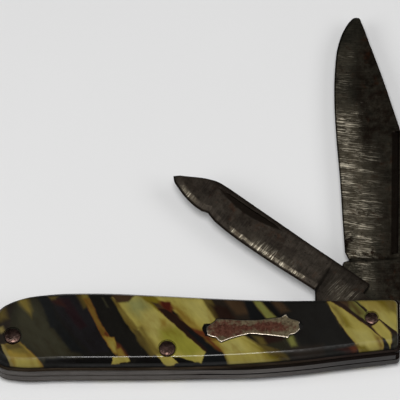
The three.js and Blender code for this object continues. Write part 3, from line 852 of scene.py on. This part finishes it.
# %% Chips
DYES = {
    "straw": "#84793a", "butter": "#8b8246", "olive_yellow": "#736f27", "sage": "#6c6b3f",
    "ochre": "#5e5122", "amber": "#5c4519", "honey": "#746126", "oxblood": "#3b130a",
    "rust": "#4c2410", "umber": "#1c0f09", "ink": "#0c0d0d", "pitch": "#090807",
    "slate": "#1f1d13", "moss": "#2a281b", "wine": "#170b0d", "walnut": "#322416",
    "cream": "#6e6238", "mustard": "#5e5212", "bark": "#1c1610", "khaki": "#453a19",
    "dusk": "#131112", "olive": "#5f5f2e", "maroon": "#25100b",
}
CHIPS = [
    ("bark", 0.8, 0, -411, 39, -373, 74, -345, 8, -373, -38, -411, -38),
    ("slate", 0.5, 0, -369, 66, -328, 79, -233, -49, -208, -88, -345, -88, -378, -12),
    ("moss", 0.9, 0, -361, 66, -336, 68, -246, -54, -307, -68, -357, -12),
    ("ochre", 0.7, 0, -365, 68, -342, 72, -332, 41, -333, 30, -349, 46),
    ("ink", 0.4, 0, -320, 79, -301, 79, -272, 4, -293, 4),
    ("ink", 0.5, 0, -297, 19, -276, 19, -223, -49, -250, -49),
    ("dusk", 0.5, 0, -301, 79, -217, 79, -192, 21, -173, -49, -208, -54, -262, 8),
    ("wine", 0.45, 0, -274, 68, -258, 70, -219, 8, -233, -1, -262, 39),
    ("maroon", 0.6, 0, -293, 66, -274, 68, -264, 52, -281, 55),
    ("khaki", 0.4, 0, -297, 72, -279, 73, -283, 67, -291, 66),
    ("khaki", 0.6, 0, -243, 81, -227, 81, -217, 52, -225, 48),
    ("ochre", 0.3, 0, -234, 83, -220, 83, -210, 57, -222, 57),
    ("amber", 0.25, 0.5, -226, 68, -214, 68, -182, -1, -193, -1),
    ("amber", 0.25, 0.6, -196, 8, -184, 6, -167, -23, -175, -29, -190, -9),
    ("honey", 0.22, 0.7, -186, -12, -176, -14, -163, -16, -152, -47, -159, -56, -173, -36),
    ("straw", 0.5, 0, -172, -25, -165, -25, -156, -49, -162, -49),
    ("rust", 0.25, 0, -182, -1, -174, -9, -176, -15, -183, -9),
    ("rust", 0.4, 0, -156, -29, -149, -34, -132, -58, -151, -60, -158, -43),
    ("honey", 0.45, 0, -157, -43, -149, -40, -136, -58, -155, -60),
    ("pitch", 0.3, 0, -303, -63, -165, -61, -159, -91, -312, -91),
    ("straw", 0.15, 0.3, -165, -61, -133, -58, -129, -67, -167, -74),
    ("moss", 0.3, 0, -187, 70, -184, 70, -174, 48, -177, 48),
    ("straw", 0.25, 0.5, -167, 70, -114, 81, 43, -54, 23, -71, -35, -71, -72, -60, -122, -3),
    ("ochre", 0.3, 0, -167, 66, -155, 59, -114, 4, -118, -12, -140, 17),
    ("khaki", 0.35, 0, -124, 2, -111, -1, -72, -49, -85, -60, -114, -25),
    ("ochre", 0.5, 0, -114, 6, -105, 8, -64, -54, -81, -54),
    ("sage", 1.4, 0, -140, 66, -105, 70, -89, 48, -105, 24, -130, 41),
    ("walnut", 0.35, 0, -171, 81, -114, 81, -134, 61, -159, 58),
    ("butter", 1, 0, -109, 39, -76, 41, -64, -1, -76, -27, -97, -1),
    ("olive_yellow", 1.1, 0, -72, -1, -35, 8, 27, -45, -6, -61, -56, -45),
    ("honey", 0.5, 0, -68, 24, -56, 21, -56, 10, -66, 8),
    ("pitch", 0.15, 0, -114, -61, -72, -60, -54, -76, -52, -94, -134, -94),
    ("pitch", 0.15, 0, -45, -58, 25, -71, 25, -94, -72, -94),
    ("straw", 0.12, 0.3, -68, -61, -43, -60, -30, -70, -48, -75, -61, -71),
    ("straw", 0.25, 0.4, -97, 83, 20, 83, 47, 39, 53, 17, 30, -10, -76, 66),
    ("butter", 0.9, 0, -23, 63, 14, 66, 39, 35, 35, 13, 6, 26),
    ("honey", 0.55, 0, -48, 57, -33, 50, 27, -3, 20, -18, -19, 15),
    ("rust", 0.4, 0, -6, 4, 23, -1, 29, -16, 10, -12),
    ("mustard", 0.3, 0, -118, 79, -85, 79, -62, 57, -54, 32, -72, 41),
    ("rust", 0.5, 0, -72, 62, -50, 61, -41, 46, -52, 32, -68, 46),
    ("oxblood", 0.25, 0, -68, 63, -48, 59, -50, 41, -62, 46),
    ("walnut", 0.3, 0, -89, 61, -72, 59, -48, 35, -56, 30),
    ("umber", 0.18, 0.4, -74, 47, -56, 46, -12, 10, 12, -9, 64, -54, 29, -54, -31, 4),
    ("ink", 0.3, 0, -19, 6, 2, -5, 60, -54, 35, -54),
    ("amber", 0.4, 0, 18, -12, 53, -20, 76, -49, 66, -54, 27, -27),
    ("rust", 0.35, 0, 12, -7, 31, -14, 60, -45, 53, -47),
    ("honey", 0.4, 0, 39, -25, 58, -25, 76, -49, 66, -51),
    ("ink", 0.2, 0, 29, -47, 60, -49, 74, -68, 76, -78, 14, -78, 19, -66),
    ("straw", 0.4, 0.3, 53, -25, 93, -5, 107, -14, 185, -70, 181, -75, 76, -75, 61, -45),
    ("butter", 0.7, 0, 60, -32, 93, -18, 113, -45, 76, -54),
    ("mustard", 0.7, 0, 122, -32, 159, -49, 196, -68, 171, -71),
    ("khaki", 0.6, 0, 124, -14, 150, -16, 177, -45, 146, -45),
    ("umber", 0.45, 0, 138, -7, 188, -16, 198, -38, 159, -40),
    ("slate", 0.5, 0, 146, -34, 212, -16, 225, -45, 188, -54),
    ("olive", 0.5, 0, 191, -16, 205, -14, 214, -35, 202, -38),
    ("khaki", 0.5, 0, 134, -32, 171, -43, 204, -61, 159, -56),
    ("bark", 0.8, 0, 192, -40, 266, -32, 274, -68, 221, -78),
    ("bark", 0.3, 0, 23, 83, 126, 83, 171, 17, 51, 17),
    ("khaki", 0.3, 0, 14, 74, 33, 74, 60, 26, 49, 21),
    ("walnut", 0.6, 0, 58, 70, 93, 70, 122, 35, 89, 35),
    ("umber", 0.5, 0, 37, 55, 68, 48, 93, 21, 53, 21),
    ("ink", 0.4, 0, 101, 79, 124, 79, 155, 30, 142, 17, 117, 21),
    ("olive", 0.35, 0.3, 118, 70, 132, 70, 173, 28, 152, 24, 136, 44),
    ("pitch", 0.2, 0, 132, 74, 152, 74, 192, 28, 173, 28),
    ("walnut", 0.6, 0, 157, 68, 177, 68, 198, 41, 181, 37),
    ("walnut", 0.3, 0, 284, 74, 336, 74, 369, 39, 410, -9, 398, -35, 295, 55),
    ("olive", 0.6, 0, 322, 72, 336, 72, 363, 41, 361, 17, 346, 20, 326, 44),
    ("khaki", 0.6, 0, 315, 70, 328, 66, 348, 35, 340, 30),
    ("umber", 0.15, 0, 282, 74, 299, 63, 330, 40, 361, 15, 394, -16, 400, -36, 381, -25, 344, 8,
     309, 40, 284, 63),
    ("straw", 0.15, 0.7, 275, 63, 281, 64, 320, 37, 357, 9, 383, -15, 392, -32, 388, -39, 369, -46,
     346, -47, 331, -27, 304, 10, 282, 46),
    ("butter", 0.9, 0, 330, -3, 357, -1, 377, -32, 357, -40, 338, -29),
    ("ochre", 0.9, 0, 284, 52, 297, 48, 320, 13, 307, 10),
    ("mustard", 0.6, 0, 303, 35, 315, 26, 328, 4, 315, 6),
    ("amber", 0.6, 0, 373, -12, 382, -16, 391, -34, 384, -38),
    ("maroon", 0.35, 0, 295, -43, 317, -38, 338, -34, 332, -47),
    ("rust", 0.4, 0, 322, -38, 332, -34, 342, -37, 330, -44),
    ("mustard", 0.35, 0, 336, -34, 353, -34, 369, -43, 348, -44),
    ("straw", 0.2, 0.5, 367, 8, 383, 20, 406, -5, 409, -23, 403, -38),
    ("pitch", 0.15, 0, 387, -15, 394, -20, 405, -39, 394, -44),
    ("slate", 0.25, 0, 412, -4, 431, -7, 431, -49, 414, -46, 409, -25),
    ("straw", 0.15, 0, 328, 77, 431, 77, 431, -9, 419, -9, 357, 44),
    ("mustard", 0.8, 0, 371, 68, 414, 68, 419, 37, 398, 44),
    ("ochre", 0.6, 0, 394, 66, 414, 68, 416, 41, 404, 44),
    ("butter", 0.8, 0, 365, 50, 390, 39, 421, -3, 398, 13),
    ("umber", 0.1, 0, 325, 69, 330, 68, 359, 42, 357, 37),
    ("umber", 0.1, 0, 377, 27, 383, 25, 423, -8, 423, -17),
    ("honey", 0.2, 0.6, -396, -34, -356, -26, -332, -51, -307, -76, -367, -85, -388, -58),
    ("cream", 0.2, 0, -397, -32, -389, -32, -367, -80, -378, -80, -390, -58),
    ("ochre", 0.5, 0, -382, -36, -349, -34, -336, -54, -369, -51),
    ("straw", 0.5, 0, -365, -63, -324, -63, -316, -78, -365, -81),
    ("khaki", 0.5, 0, -388, -32, -357, -27, -351, -40, -380, -45),
    ("pitch", 0.15, 0, -415, -32, -397, -32, -371, -81, -415, -88),
    # the floor of the shield's left notch, painted black as shade
    ("pitch", 0.12, 0, 19, 4, 25, 13, 37, 14, 35, -14, 24, -14),
    ("cream", 0.4, 0, -402, 4, -391, 6, -386, -3, -394, -8),
    ("khaki", 0.9, 0, -406, 44, -388, 52, -382, 26, -398, 17),
]
print("chips:", len(CHIPS), "dyes:", len(DYES))

# %% [markdown]
# Many finishes here are spots in cloudy noise. The noise is turned to a share between two limits,
# and the closer these are, the crisper the border of the spots is. Every finish ends with a
# colour, a roughness and a height, which the shader shows as a bump. The bumps are hundredths of a
# millimetre, too low to be worth any points in the mesh.

# %% Spots and finish
def spots(tree, place, noise, limits, **settings):
    """
    Cloudy noise, by its scale, detail and roughness, turned to a share: 0 at the first limit and 1
    at the second, or from a third number to a fourth.
    """
    look = dict(zip(("Scale", "Detail", "Roughness"), noise))
    cloud = add(tree, "TexNoise", {"Vector": place, **look})
    return add(tree, "MapRange", (cloud, *limits), **settings)


def finish(tree, shader, colour, roughness, height, depth_mm, metallic=0.0):
    """Fills the shader: a colour, a roughness and a height, as a bump of a depth in mm."""
    tree.links.new(colour, shader.inputs["Base Color"])
    tree.links.new(roughness, shader.inputs["Roughness"])
    bumped = add(tree, "Bump", {"Height": height, "Distance": depth_mm * MM})
    tree.links.new(bumped, shader.inputs["Normal"])
    shader.inputs["Metallic"].default_value = metallic


print("a bump 0.06 mm deep is, in metres:", 0.06 * MM)

# %% [markdown]
# Pressing made the borders wander a little, so the place is first shifted by cloudy noise that is
# drawn out along the slant. The surface was buffed, which left wide low waves. It is glossiest in
# the middle of the handle, where hands polished it, and duller towards both ends. The wall under
# the bend is dull too, and painted near black at its foot, beside the liner, as shade.

# %% Celluloid
WANDER = ((0.3, 0.8), (1.3, 0.45), (3.5, 0.1))
SLANT = radians(52)
HALF_HEIGHT = TOP / 2


def slanted(tree, place, squeeze):
    """Places turned to the chips' slant and squeezed along it, which draws noise out that way."""
    spun = add(tree, "VectorRotate", {"Vector": place, "Angle": SLANT}, rotation_type="Z_AXIS")
    return add(tree, "VectorMath MULTIPLY", (spun, (squeeze, 1, 1)))


def marbled_celluloid(name):
    """The dark ground, every chip in turn, fine clouding, and the gloss of a handled plastic."""
    material, tree, shader, place = begin(name)
    flat = add(tree, "VectorMath MULTIPLY", (place, (1, 1, 0)), name="turned over")
    flat = add(tree, "VectorMath ADD", (flat, (0, 0, 1)), name="shifted")
    for scale, reach in WANDER:
        drawn = slanted(tree, flat, 0.45)
        cloud = add(tree, "TexNoise", {"Vector": drawn, "Scale": scale, "Detail": 3}, "Color")
        centred = add(tree, "VectorMath SUBTRACT", (cloud, (0.5, 0.5, 0.5)))
        flat = add(tree, "VectorMath MULTIPLY_ADD", (centred, (reach, reach, 0), flat))
    ground = add(tree, "TexNoise", {"Vector": flat, "Scale": 0.2, "Detail": 3})
    colour = layered(tree, linear("#0c0b09"), [(ground, "#12100c")])
    for dye, soft, rim, *corners in CHIPS:
        colour = lay_chip(tree, flat, colour, DYES[dye], soft, rim, corners)

    # clouding inside the chips, drawn out along the slant, about two millimetres wide
    cloud = add(tree, "TexNoise", {"Vector": slanted(tree, flat, 0.4), "Scale": 0.5, "Detail": 3})
    clouding = add(tree, "MapRange", (cloud, 0.32, 0.68, 0.8, 1.12))
    colour = add(tree, "VectorMath SCALE", {0: colour, "Scale": clouding})
    smoky = add(tree, "MapRange", (cloud, 0.5, 0.32, 0.0, 0.35), **SMOOTH)
    tinted = add(tree, "VectorMath MULTIPLY", (colour, (0.85, 0.62, 0.35)))

    # dull places and the painted shade at the wall's foot are told apart by the distance from the
    # handle's middle height: 5.6 mm on the level top, a little less on the bend, and down to 3 mm
    # at the foot of the wall
    along, _, height = add(tree, "SeparateXYZ", (place,)).node.outputs
    from_middle = add(tree, "Math SUBTRACT", (height, HALF_HEIGHT))
    from_middle = add(tree, "Math ABSOLUTE", (from_middle,))
    to_end = add(tree, "MapRange", (along, 12, 26, 0.0, 0.4), **SMOOTH)
    to_round = add(tree, "MapRange", (along, -21, -31, 0.0, 0.4), **SMOOTH)
    dull = add(tree, "Math ADD", (to_end, to_round))
    on_bend = add(tree, "MapRange", (from_middle, HALF_HEIGHT, 5.55, 0.3, 1.0))
    dull = add(tree, "Math MULTIPLY", (dull, on_bend))
    on_wall = add(tree, "MapRange", (from_middle, 4.6, 3.9, 0.0, 0.5))
    least = add(tree, "MapRange", (from_middle, HALF_HEIGHT, 5.57, 0.2, 0.07))
    rough = spots(tree, place, (1.1, 6, 0.6), (0.36, 0.64, least, 0.24))
    for more in (dull, on_wall):
        rough = add(tree, "Math ADD", (rough, more))
    # painted shade: the wall under the bend is darkened to near black at its foot, beside the
    # liner
    darkening = add(tree, "MapRange", (from_middle, 3.95, 3.5, 0.0, 0.9))
    colour = layered(tree, colour, [(smoky, tinted), (darkening, "#070504")])
    waves = add(tree, "TexNoise", {"Vector": place, "Scale": 0.12, "Detail": 2})
    finish(tree, shader, colour, rough, waves, 0.06)
    # celluloid has an IOR of 1.5, and reflects less than that gives, because fine wear scatters
    shader.inputs["IOR"].default_value = 1.5
    shader.inputs["Specular IOR Level"].default_value = 0.17
    return material


front_celluloid = marbled_celluloid("marbled celluloid, buffed")
back_celluloid = front_celluloid.copy()
back_celluloid.name = "marbled celluloid, buffed, for the back"
back_celluloid.node_tree.nodes["turned over"].inputs[1].default_value = (1, -1, 0)
back_celluloid.node_tree.nodes["shifted"].inputs[1].default_value = (5, -2, 1)
print("nodes in the celluloid:", len(front_celluloid.node_tree.nodes))

# %% [markdown]
# ## Carbon steel
# The blades are carbon steel, ground across the blade and darkened by long use to a brown-grey
# patina. The pattern reads each point's place on the blade in millimetres, which the blade's mesh
# carries, so it turns with the blade: how far along it is, how far across, and how far from the
# cutting edge. Two helpers pick out parts of a blade by these distances.

# %% Zones
def window(tree, value, low, high, soft):
    """1 between two limits and 0 outside, with a smooth step as wide as soft at each of them."""
    rise = add(tree, "MapRange", (value, low - soft / 2, low + soft / 2), **SMOOTH)
    fall = add(tree, "MapRange", (value, high + soft / 2, high - soft / 2), **SMOOTH)
    return add(tree, "Math MULTIPLY", (rise, fall))


def zones(tree, along, from_edge, listed):
    """
    The largest of several shares, one for each zone: (from, to) along, (from, to) from the edge,
    softness in mm and strength.
    """
    largest = 0.0
    for reach, depth, soft, strength in listed:
        lengthwise = window(tree, along, *reach, soft * 2)
        share = add(tree, "Math MULTIPLY", (lengthwise, window(tree, from_edge, *depth, soft)))
        share = add(tree, "Math MULTIPLY", (share, strength))
        largest = add(tree, "Math MAXIMUM", (share, largest))
    return largest


print("a zone fades over its softness, and over twice that along the blade")

# %% [markdown]
# Sharpening and pockets have rubbed parts of the steel bright again, with thin cross scratches a
# few millimetres long that come in groups. Rust has left small pits and brown stains, and dirt
# fills the opener's groove. Both blades have this steel, but each with its own colours and zones.

# %% Blade steel
SCRATCHES = [(0.03, 5.0, 0.565, 0.9), (0.07, 7.5, 0.57, 0.75)]


def blade_steel(name, back, outline, ragged, dirt, patina, rubbed_zones, stain_and_shade_zones):
    """
    Patina, grinding lines, bright scratches in the rubbed zones, brown stains, pits and a groove
    filled with dirt. The blade is painted dark, as shade, as far as outline mm from its edge and
    along its rounded back. The stain zones may hold bands of painted shade too, and the zones have
    ragged borders.
    """
    material, tree, shader, _ = begin(name)
    tag = add(tree, "Attribute", out="Vector", attribute_name="blade_place")
    along, across, from_edge = add(tree, "SeparateXYZ", (tag,)).node.outputs
    flat = add(tree, "CombineXYZ", (along, across, 0.0))
    speckle = add(tree, "TexNoise", {"Vector": flat, "Scale": 0.6, "Detail": 7, "Roughness": 0.75})
    centred = add(tree, "Math SUBTRACT", (speckle, 0.5))
    there = add(tree, "Math MULTIPLY_ADD", (centred, 2 * ragged, along))
    inward = add(tree, "Math MULTIPLY_ADD", (centred, ragged, from_edge))
    cloudy = spots(tree, flat, (0.17, 6, 0.65), (0.36, 0.64), **SMOOTH)

    # grinding lines across the blade: real ones are 0.05 mm apart, these are drawn at 0.2 mm
    cross = add(tree, "VectorMath MULTIPLY", (flat, (1, 0.05, 1)))
    lines = add(tree, "TexNoise", {"Vector": cross, "Scale": 5, "Detail": 4, "Roughness": 0.7})
    fine = add(tree, "MapRange", (lines, 0.42, 0.7, 0.0, 0.3))

    # rubbed zones are a little lighter, with bright scratches tilted off the cross direction.
    # Real ones are 0.05 mm wide, these are drawn 0.2 mm wide so that they show
    rubbed = zones(tree, there, inward, rubbed_zones)
    worn = add(tree, "Math MULTIPLY", (rubbed, 0.33))
    layers = [(cloudy, patina[1]), (fine, patina[2]), (worn, "#6b6252")]
    tilted = add(tree, "VectorRotate", {"Vector": flat, "Angle": -0.12}, rotation_type="Z_AXIS")
    grouped = add(tree, "VectorMath MULTIPLY", (tilted, (1, 0.15, 1)))
    grouped = spots(tree, grouped, (0.8, 3), (0.44, 0.58, 0.15, 1.15))
    rubbed = add(tree, "Math MULTIPLY", (rubbed, grouped))
    for squeeze, scale, low, strength in SCRATCHES:
        drawn = add(tree, "VectorMath MULTIPLY", (tilted, (1, squeeze, 1)))
        scratch = spots(tree, drawn, (scale, 2), (low, low + 0.07, 0.0, strength))
        scratch = add(tree, "Math MULTIPLY", (scratch, rubbed))
        layers.append((scratch, "#ddd3bd"))

    # brown stains in the stain zones; on the master, the narrow zone across the plunge is painted
    # shade
    stain = spots(tree, flat, (0.5, 6, 0.7), (0.42, 0.6, 0.3, 1.0))
    stain = add(tree, "Math MULTIPLY", (stain, zones(tree, there, inward, stain_and_shade_zones)))
    rust = spots(tree, flat, (0.33, 7, 0.7), (0.56, 0.7, 0.0, 0.45))
    layers += [(stain, "#1a130e"), (rust, "#3d2112")]
    colour = layered(tree, linear(patina[0]), layers)

    # mottling a millimetre wide, then pits, painted shade along the edge and the back, and dirt
    # in the groove
    mottle = add(tree, "MapRange", (speckle, 0.36, 0.64, 0.62, 1.3))
    colour = add(tree, "VectorMath SCALE", {0: colour, "Scale": mottle})
    pits = spots(tree, flat, (1.7, 6, 0.7), (0.57, 0.66), **SMOOTH)
    pitted = add(tree, "Math MULTIPLY", (pits, 0.8))
    # painted shade: dark bands along the cutting edge's bevel and along the rounded back
    edge_shade = add(tree, "MapRange", (from_edge, outline, outline - 0.2, 0.0, 0.9))
    back_shade = add(tree, "MapRange", (across, back - 1.0, back - 0.2, 0.0, 0.7))
    groove = add(tree, "Attribute", out="Fac", attribute_name="groove_depth")
    packed = add(tree, "MapRange", (groove, 0.0, 0.06, 0.0, 0.85))
    colour = layered(tree, colour, [
        (pitted, "#120c08"), (edge_shade, "#100c09"), (back_shade, "#15100d"), (packed, dirt),
    ])
    rough = add(tree, "MapRange", (lines, 0.3, 0.7, 0.58, 0.42))
    height = add(tree, "Math MULTIPLY_ADD", (pits, -0.8, lines))
    finish(tree, shader, colour, rough, height, 0.025, metallic=1.0)
    return material


master_steel = blade_steel(
    "carbon steel, cross-ground with patina, master", back=6.6, outline=0.4, ragged=7.0,
    dirt="#15100d", patina=("#1e1e19", "#35322a", "#5a5348"),
    rubbed_zones=[
        ((20.5, 50), (-1, 5.2), 2.2, 1.0), ((20, 41), (4, 8), 3.5, 0.45),
        ((14.6, 20), (0.5, 6), 1.5, 1.0), ((50, 64), (0, 3), 3.0, 0.3),
        ((9.5, 14), (2.5, 6.5), 2.0, 0.5),
    ],
    stain_and_shade_zones=[
        ((40, 76), (4.2, 20), 4.0, 0.9), ((16, 60), (6.5, 11.5), 3.0, 0.6),
        # 15.6 to 16.8 mm along: painted shade in the plunge, where the grind runs out
        ((3, 16), (7, 14), 3.5, 0.9), ((15.6, 16.8), (-1, 14), 0.3, 1.0),
        ((17.8, 20.6), (-1, 1.3), 0.7, 1.5),
    ],
)
pen_steel = blade_steel(
    "carbon steel, cross-ground with patina, pen", back=7.05, outline=0.55, ragged=1.6,
    dirt="#2e2721", patina=("#25211d", "#36312b", "#504940"),
    rubbed_zones=[
        ((17, 36), (0.55, 1.25), 0.4, 1.0), ((21, 31), (0.3, 2.4), 1.6, 0.45),
        ((45.5, 50), (0.4, 1.4), 0.5, 0.9), ((6, 11), (4.5, 8.5), 2.5, 0.4),
    ],
    stain_and_shade_zones=[
        ((46, 53), (1.4, 8), 2.0, 0.5), ((22, 45), (3.4, 6.2), 2.0, 0.4),
        ((-6, 7), (0, 14), 3.0, 0.55),
    ],
)
print("blade materials:", master_steel.name, "|", pen_steel.name)

# %% [markdown]
# ## Springs and liners
# The back edges of springs and liners were ground level together, so they share long fine
# scratches along the handle. Grime fills the joints between the layers, which lie at fixed
# heights, and darkens them. Handling has darkened the strip towards the square end.

# %% Strip metals
JOINTS = (2.6, 3.1, 5.4, 5.9, 8.1, 8.6)
# a distance in mm to start from, where the least of several is looked for
FAR = 9.0


def strip_metal(name, dark, light, darkening):
    """Metal with scratches along the handle, stains, and grime near each joint's height."""
    material, tree, shader, place = begin(name)
    drawn = add(tree, "VectorMath MULTIPLY", (place, (0.06, 0.6, 3.0)))
    lines = add(tree, "TexNoise", {"Vector": drawn, "Scale": 1.7, "Detail": 6, "Roughness": 0.7})
    share = add(tree, "MapRange", (lines, 0.36, 0.64), **SMOOTH)
    stain = spots(tree, place, (0.3, 5, 0.65), (0.48, 0.72, 0.0, 0.6))
    along, _, up = add(tree, "SeparateXYZ", (place,)).node.outputs
    nearest = FAR
    for joint in JOINTS:
        gap = add(tree, "Math SUBTRACT", (up, joint))
        gap = add(tree, "Math ABSOLUTE", (gap,))
        nearest = add(tree, "Math MINIMUM", (gap, nearest))
    ragged = add(tree, "Math MULTIPLY_ADD", (lines, -0.14, nearest))
    dirty = add(tree, "MapRange", (ragged, 0.1, -0.02, 0.0, darkening))
    handled = add(tree, "MapRange", (along, 12, 35, 0.0, 0.95), **SMOOTH)
    colour = layered(tree, linear(dark), [
        (share, light), (stain, "#2a1b13"), (dirty, "#0d0906"), (handled, "#191412"),
    ])
    rough = add(tree, "MapRange", (lines, 0.3, 0.7, 0.58, 0.42))
    finish(tree, shader, colour, rough, lines, 0.02, metallic=1.0)
    return material


spring_steel = strip_metal("spring steel, ground and aged", "#38332f", "#544e49", 0.9)
liner_brass = strip_metal("brass sheet, tarnished brown", "#30281f", "#493f33", 0.85)
print("joints darkened at heights in mm:", JOINTS)

# %% [markdown]
# ## Pin heads
# The pins are steel, hammered over. Hammer dents catch the light in spots, a few fine scratches
# cross the heads, and brown staining has darkened them.

# %% Pin steel
pin_steel, tree, shader, place = begin("steel pin, peened and aged")
cloud = add(tree, "TexNoise", {"Vector": place, "Scale": 0.9, "Detail": 5, "Roughness": 0.7})
share = add(tree, "MapRange", (cloud, 0.35, 0.65), **SMOOTH)
tilted = add(tree, "VectorRotate", {"Vector": place, "Angle": -0.35}, rotation_type="Z_AXIS")
drawn = add(tree, "VectorMath MULTIPLY", (tilted, (0.35, 5, 1)))
scratch = spots(tree, drawn, (1.6, 4), (0.56, 0.7, 0.0, 0.5))
colour = layered(tree, linear("#362823"), [(share, "#54413b"), (scratch, "#85736a")])
rough = add(tree, "MapRange", (cloud, 0.3, 0.7, 0.22, 0.42))
dents = add(tree, "TexNoise", {"Vector": place, "Scale": 1.4, "Detail": 3})
finish(tree, shader, colour, rough, dents, 0.05, metallic=1.0)
print("pin material:", pin_steel.name)

# %% [markdown]
# ## Shield metal
# The shield was nickel plated over a copper alloy. Hands have worn the plating through along its
# middle, most of all on the two broad parts, where the red-brown metal shows with a grainy
# border. It is left olive-grey at the square end and along the margins, and the rolled rim is
# rubbed bright. The plate's mesh carries each point's distance from the rim, so the rim follows
# the outline.

# %% Shield metal
WORN_PLACES = [((6.8, 0.0), (4.6, 2.0)), ((10.9, 0.3), (2.6, 0.75)), ((15.3, 0.6), (4.9, 1.3))]

shield_metal, tree, shader, place = begin("nickel plate over copper alloy, worn through")
rim_distance = add(tree, "Attribute", out="Fac", attribute_name="from_rim")
grit = add(tree, "TexNoise", {"Vector": place, "Scale": 1.3, "Detail": 8, "Roughness": 0.78})
nearest = FAR
for centre, (half_length, half_width) in WORN_PLACES:
    apart = add(tree, "VectorMath SUBTRACT", (place, (*centre, 0)))
    apart = add(tree, "VectorMath MULTIPLY", (apart, (1 / half_length, 1 / half_width, 0)))
    apart = add(tree, "VectorMath LENGTH", (apart,), "Value")
    nearest = add(tree, "Math MINIMUM", (apart, nearest))
ragged = add(tree, "Math MULTIPLY_ADD", (grit, 4.2, nearest))
worn_through = add(tree, "MapRange", (ragged, 3.25, 2.7), **SMOOTH)
tone = spots(tree, place, (1.8, 7, 0.75), (0.35, 0.65))
nickel = layered(tree, linear("#4e4433"), [(tone, "#80755d")])
copper = layered(tree, linear("#3a201a"), [(tone, "#684437")])
specks = spots(tree, place, (3.2, 6, 0.8), (0.53, 0.66, 0.0, 0.7))
on_rim = add(tree, "MapRange", (rim_distance, 0.22, 0.12), **SMOOTH)
colour = layered(tree, nickel, [
    (worn_through, copper), (specks, "#1d1510"), (on_rim, "#9a9184"),
])
rough = add(tree, "MapRange", (grit, 0.3, 0.7, 0.52, 0.36))
rough = add(tree, "Mix", {0: on_rim, 2: rough, 3: 0.24}, 0, data_type="FLOAT")
finish(tree, shader, colour, rough, grit, 0.05, metallic=1.0)
print("shield material:", shield_metal.name)

# %% [markdown]
# ## Put together
# Each new piece gets its material, rides on the body that it belongs to, and stands for the plain
# solid that it replaces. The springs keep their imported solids, which already have the right
# shape, and only get their steel.

# %% Assemble
PIECES = [
    (front_scale, front_celluloid, "handle", "front_scale", "marbled_celluloid"),
    (back_scale, back_celluloid, "handle", "back_scale", "marbled_celluloid"),
    (shield, shield_metal, "handle", "shield", "worn_plated_shield"),
    (liners[0], liner_brass, "handle", "back_liner", "tarnished_brass_liner"),
    (liners[1], liner_brass, "handle", "center_liner", "tarnished_brass_liner"),
    (liners[2], liner_brass, "handle", "front_liner", "tarnished_brass_liner"),
    (pins[0], pin_steel, "handle", "pivot_pin", "peened_pin_steel"),
    (pins[1], pin_steel, "handle", "center_pin", "peened_pin_steel"),
    (pins[2], pin_steel, "handle", "end_pin", "peened_pin_steel"),
    (master_blade, master_steel, "master", "master_blade", "carbon_blade_steel"),
    (pen_blade, pen_steel, "pen", "pen_blade", "carbon_blade_steel"),
]
for piece, look, body, stands_for, slot in PIECES:
    piece.data.materials.clear()
    piece.data.materials.append(look)
    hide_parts(stands_for)
    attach(piece, body)

for name in ("master_spring", "pen_spring"):
    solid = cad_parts[name]
    if not solid.material_slots:
        solid.data.materials.append(spring_steel)
    for held in solid.material_slots:
        held.material = spring_steel
print("pieces dressed:", len(PIECES) + 2)
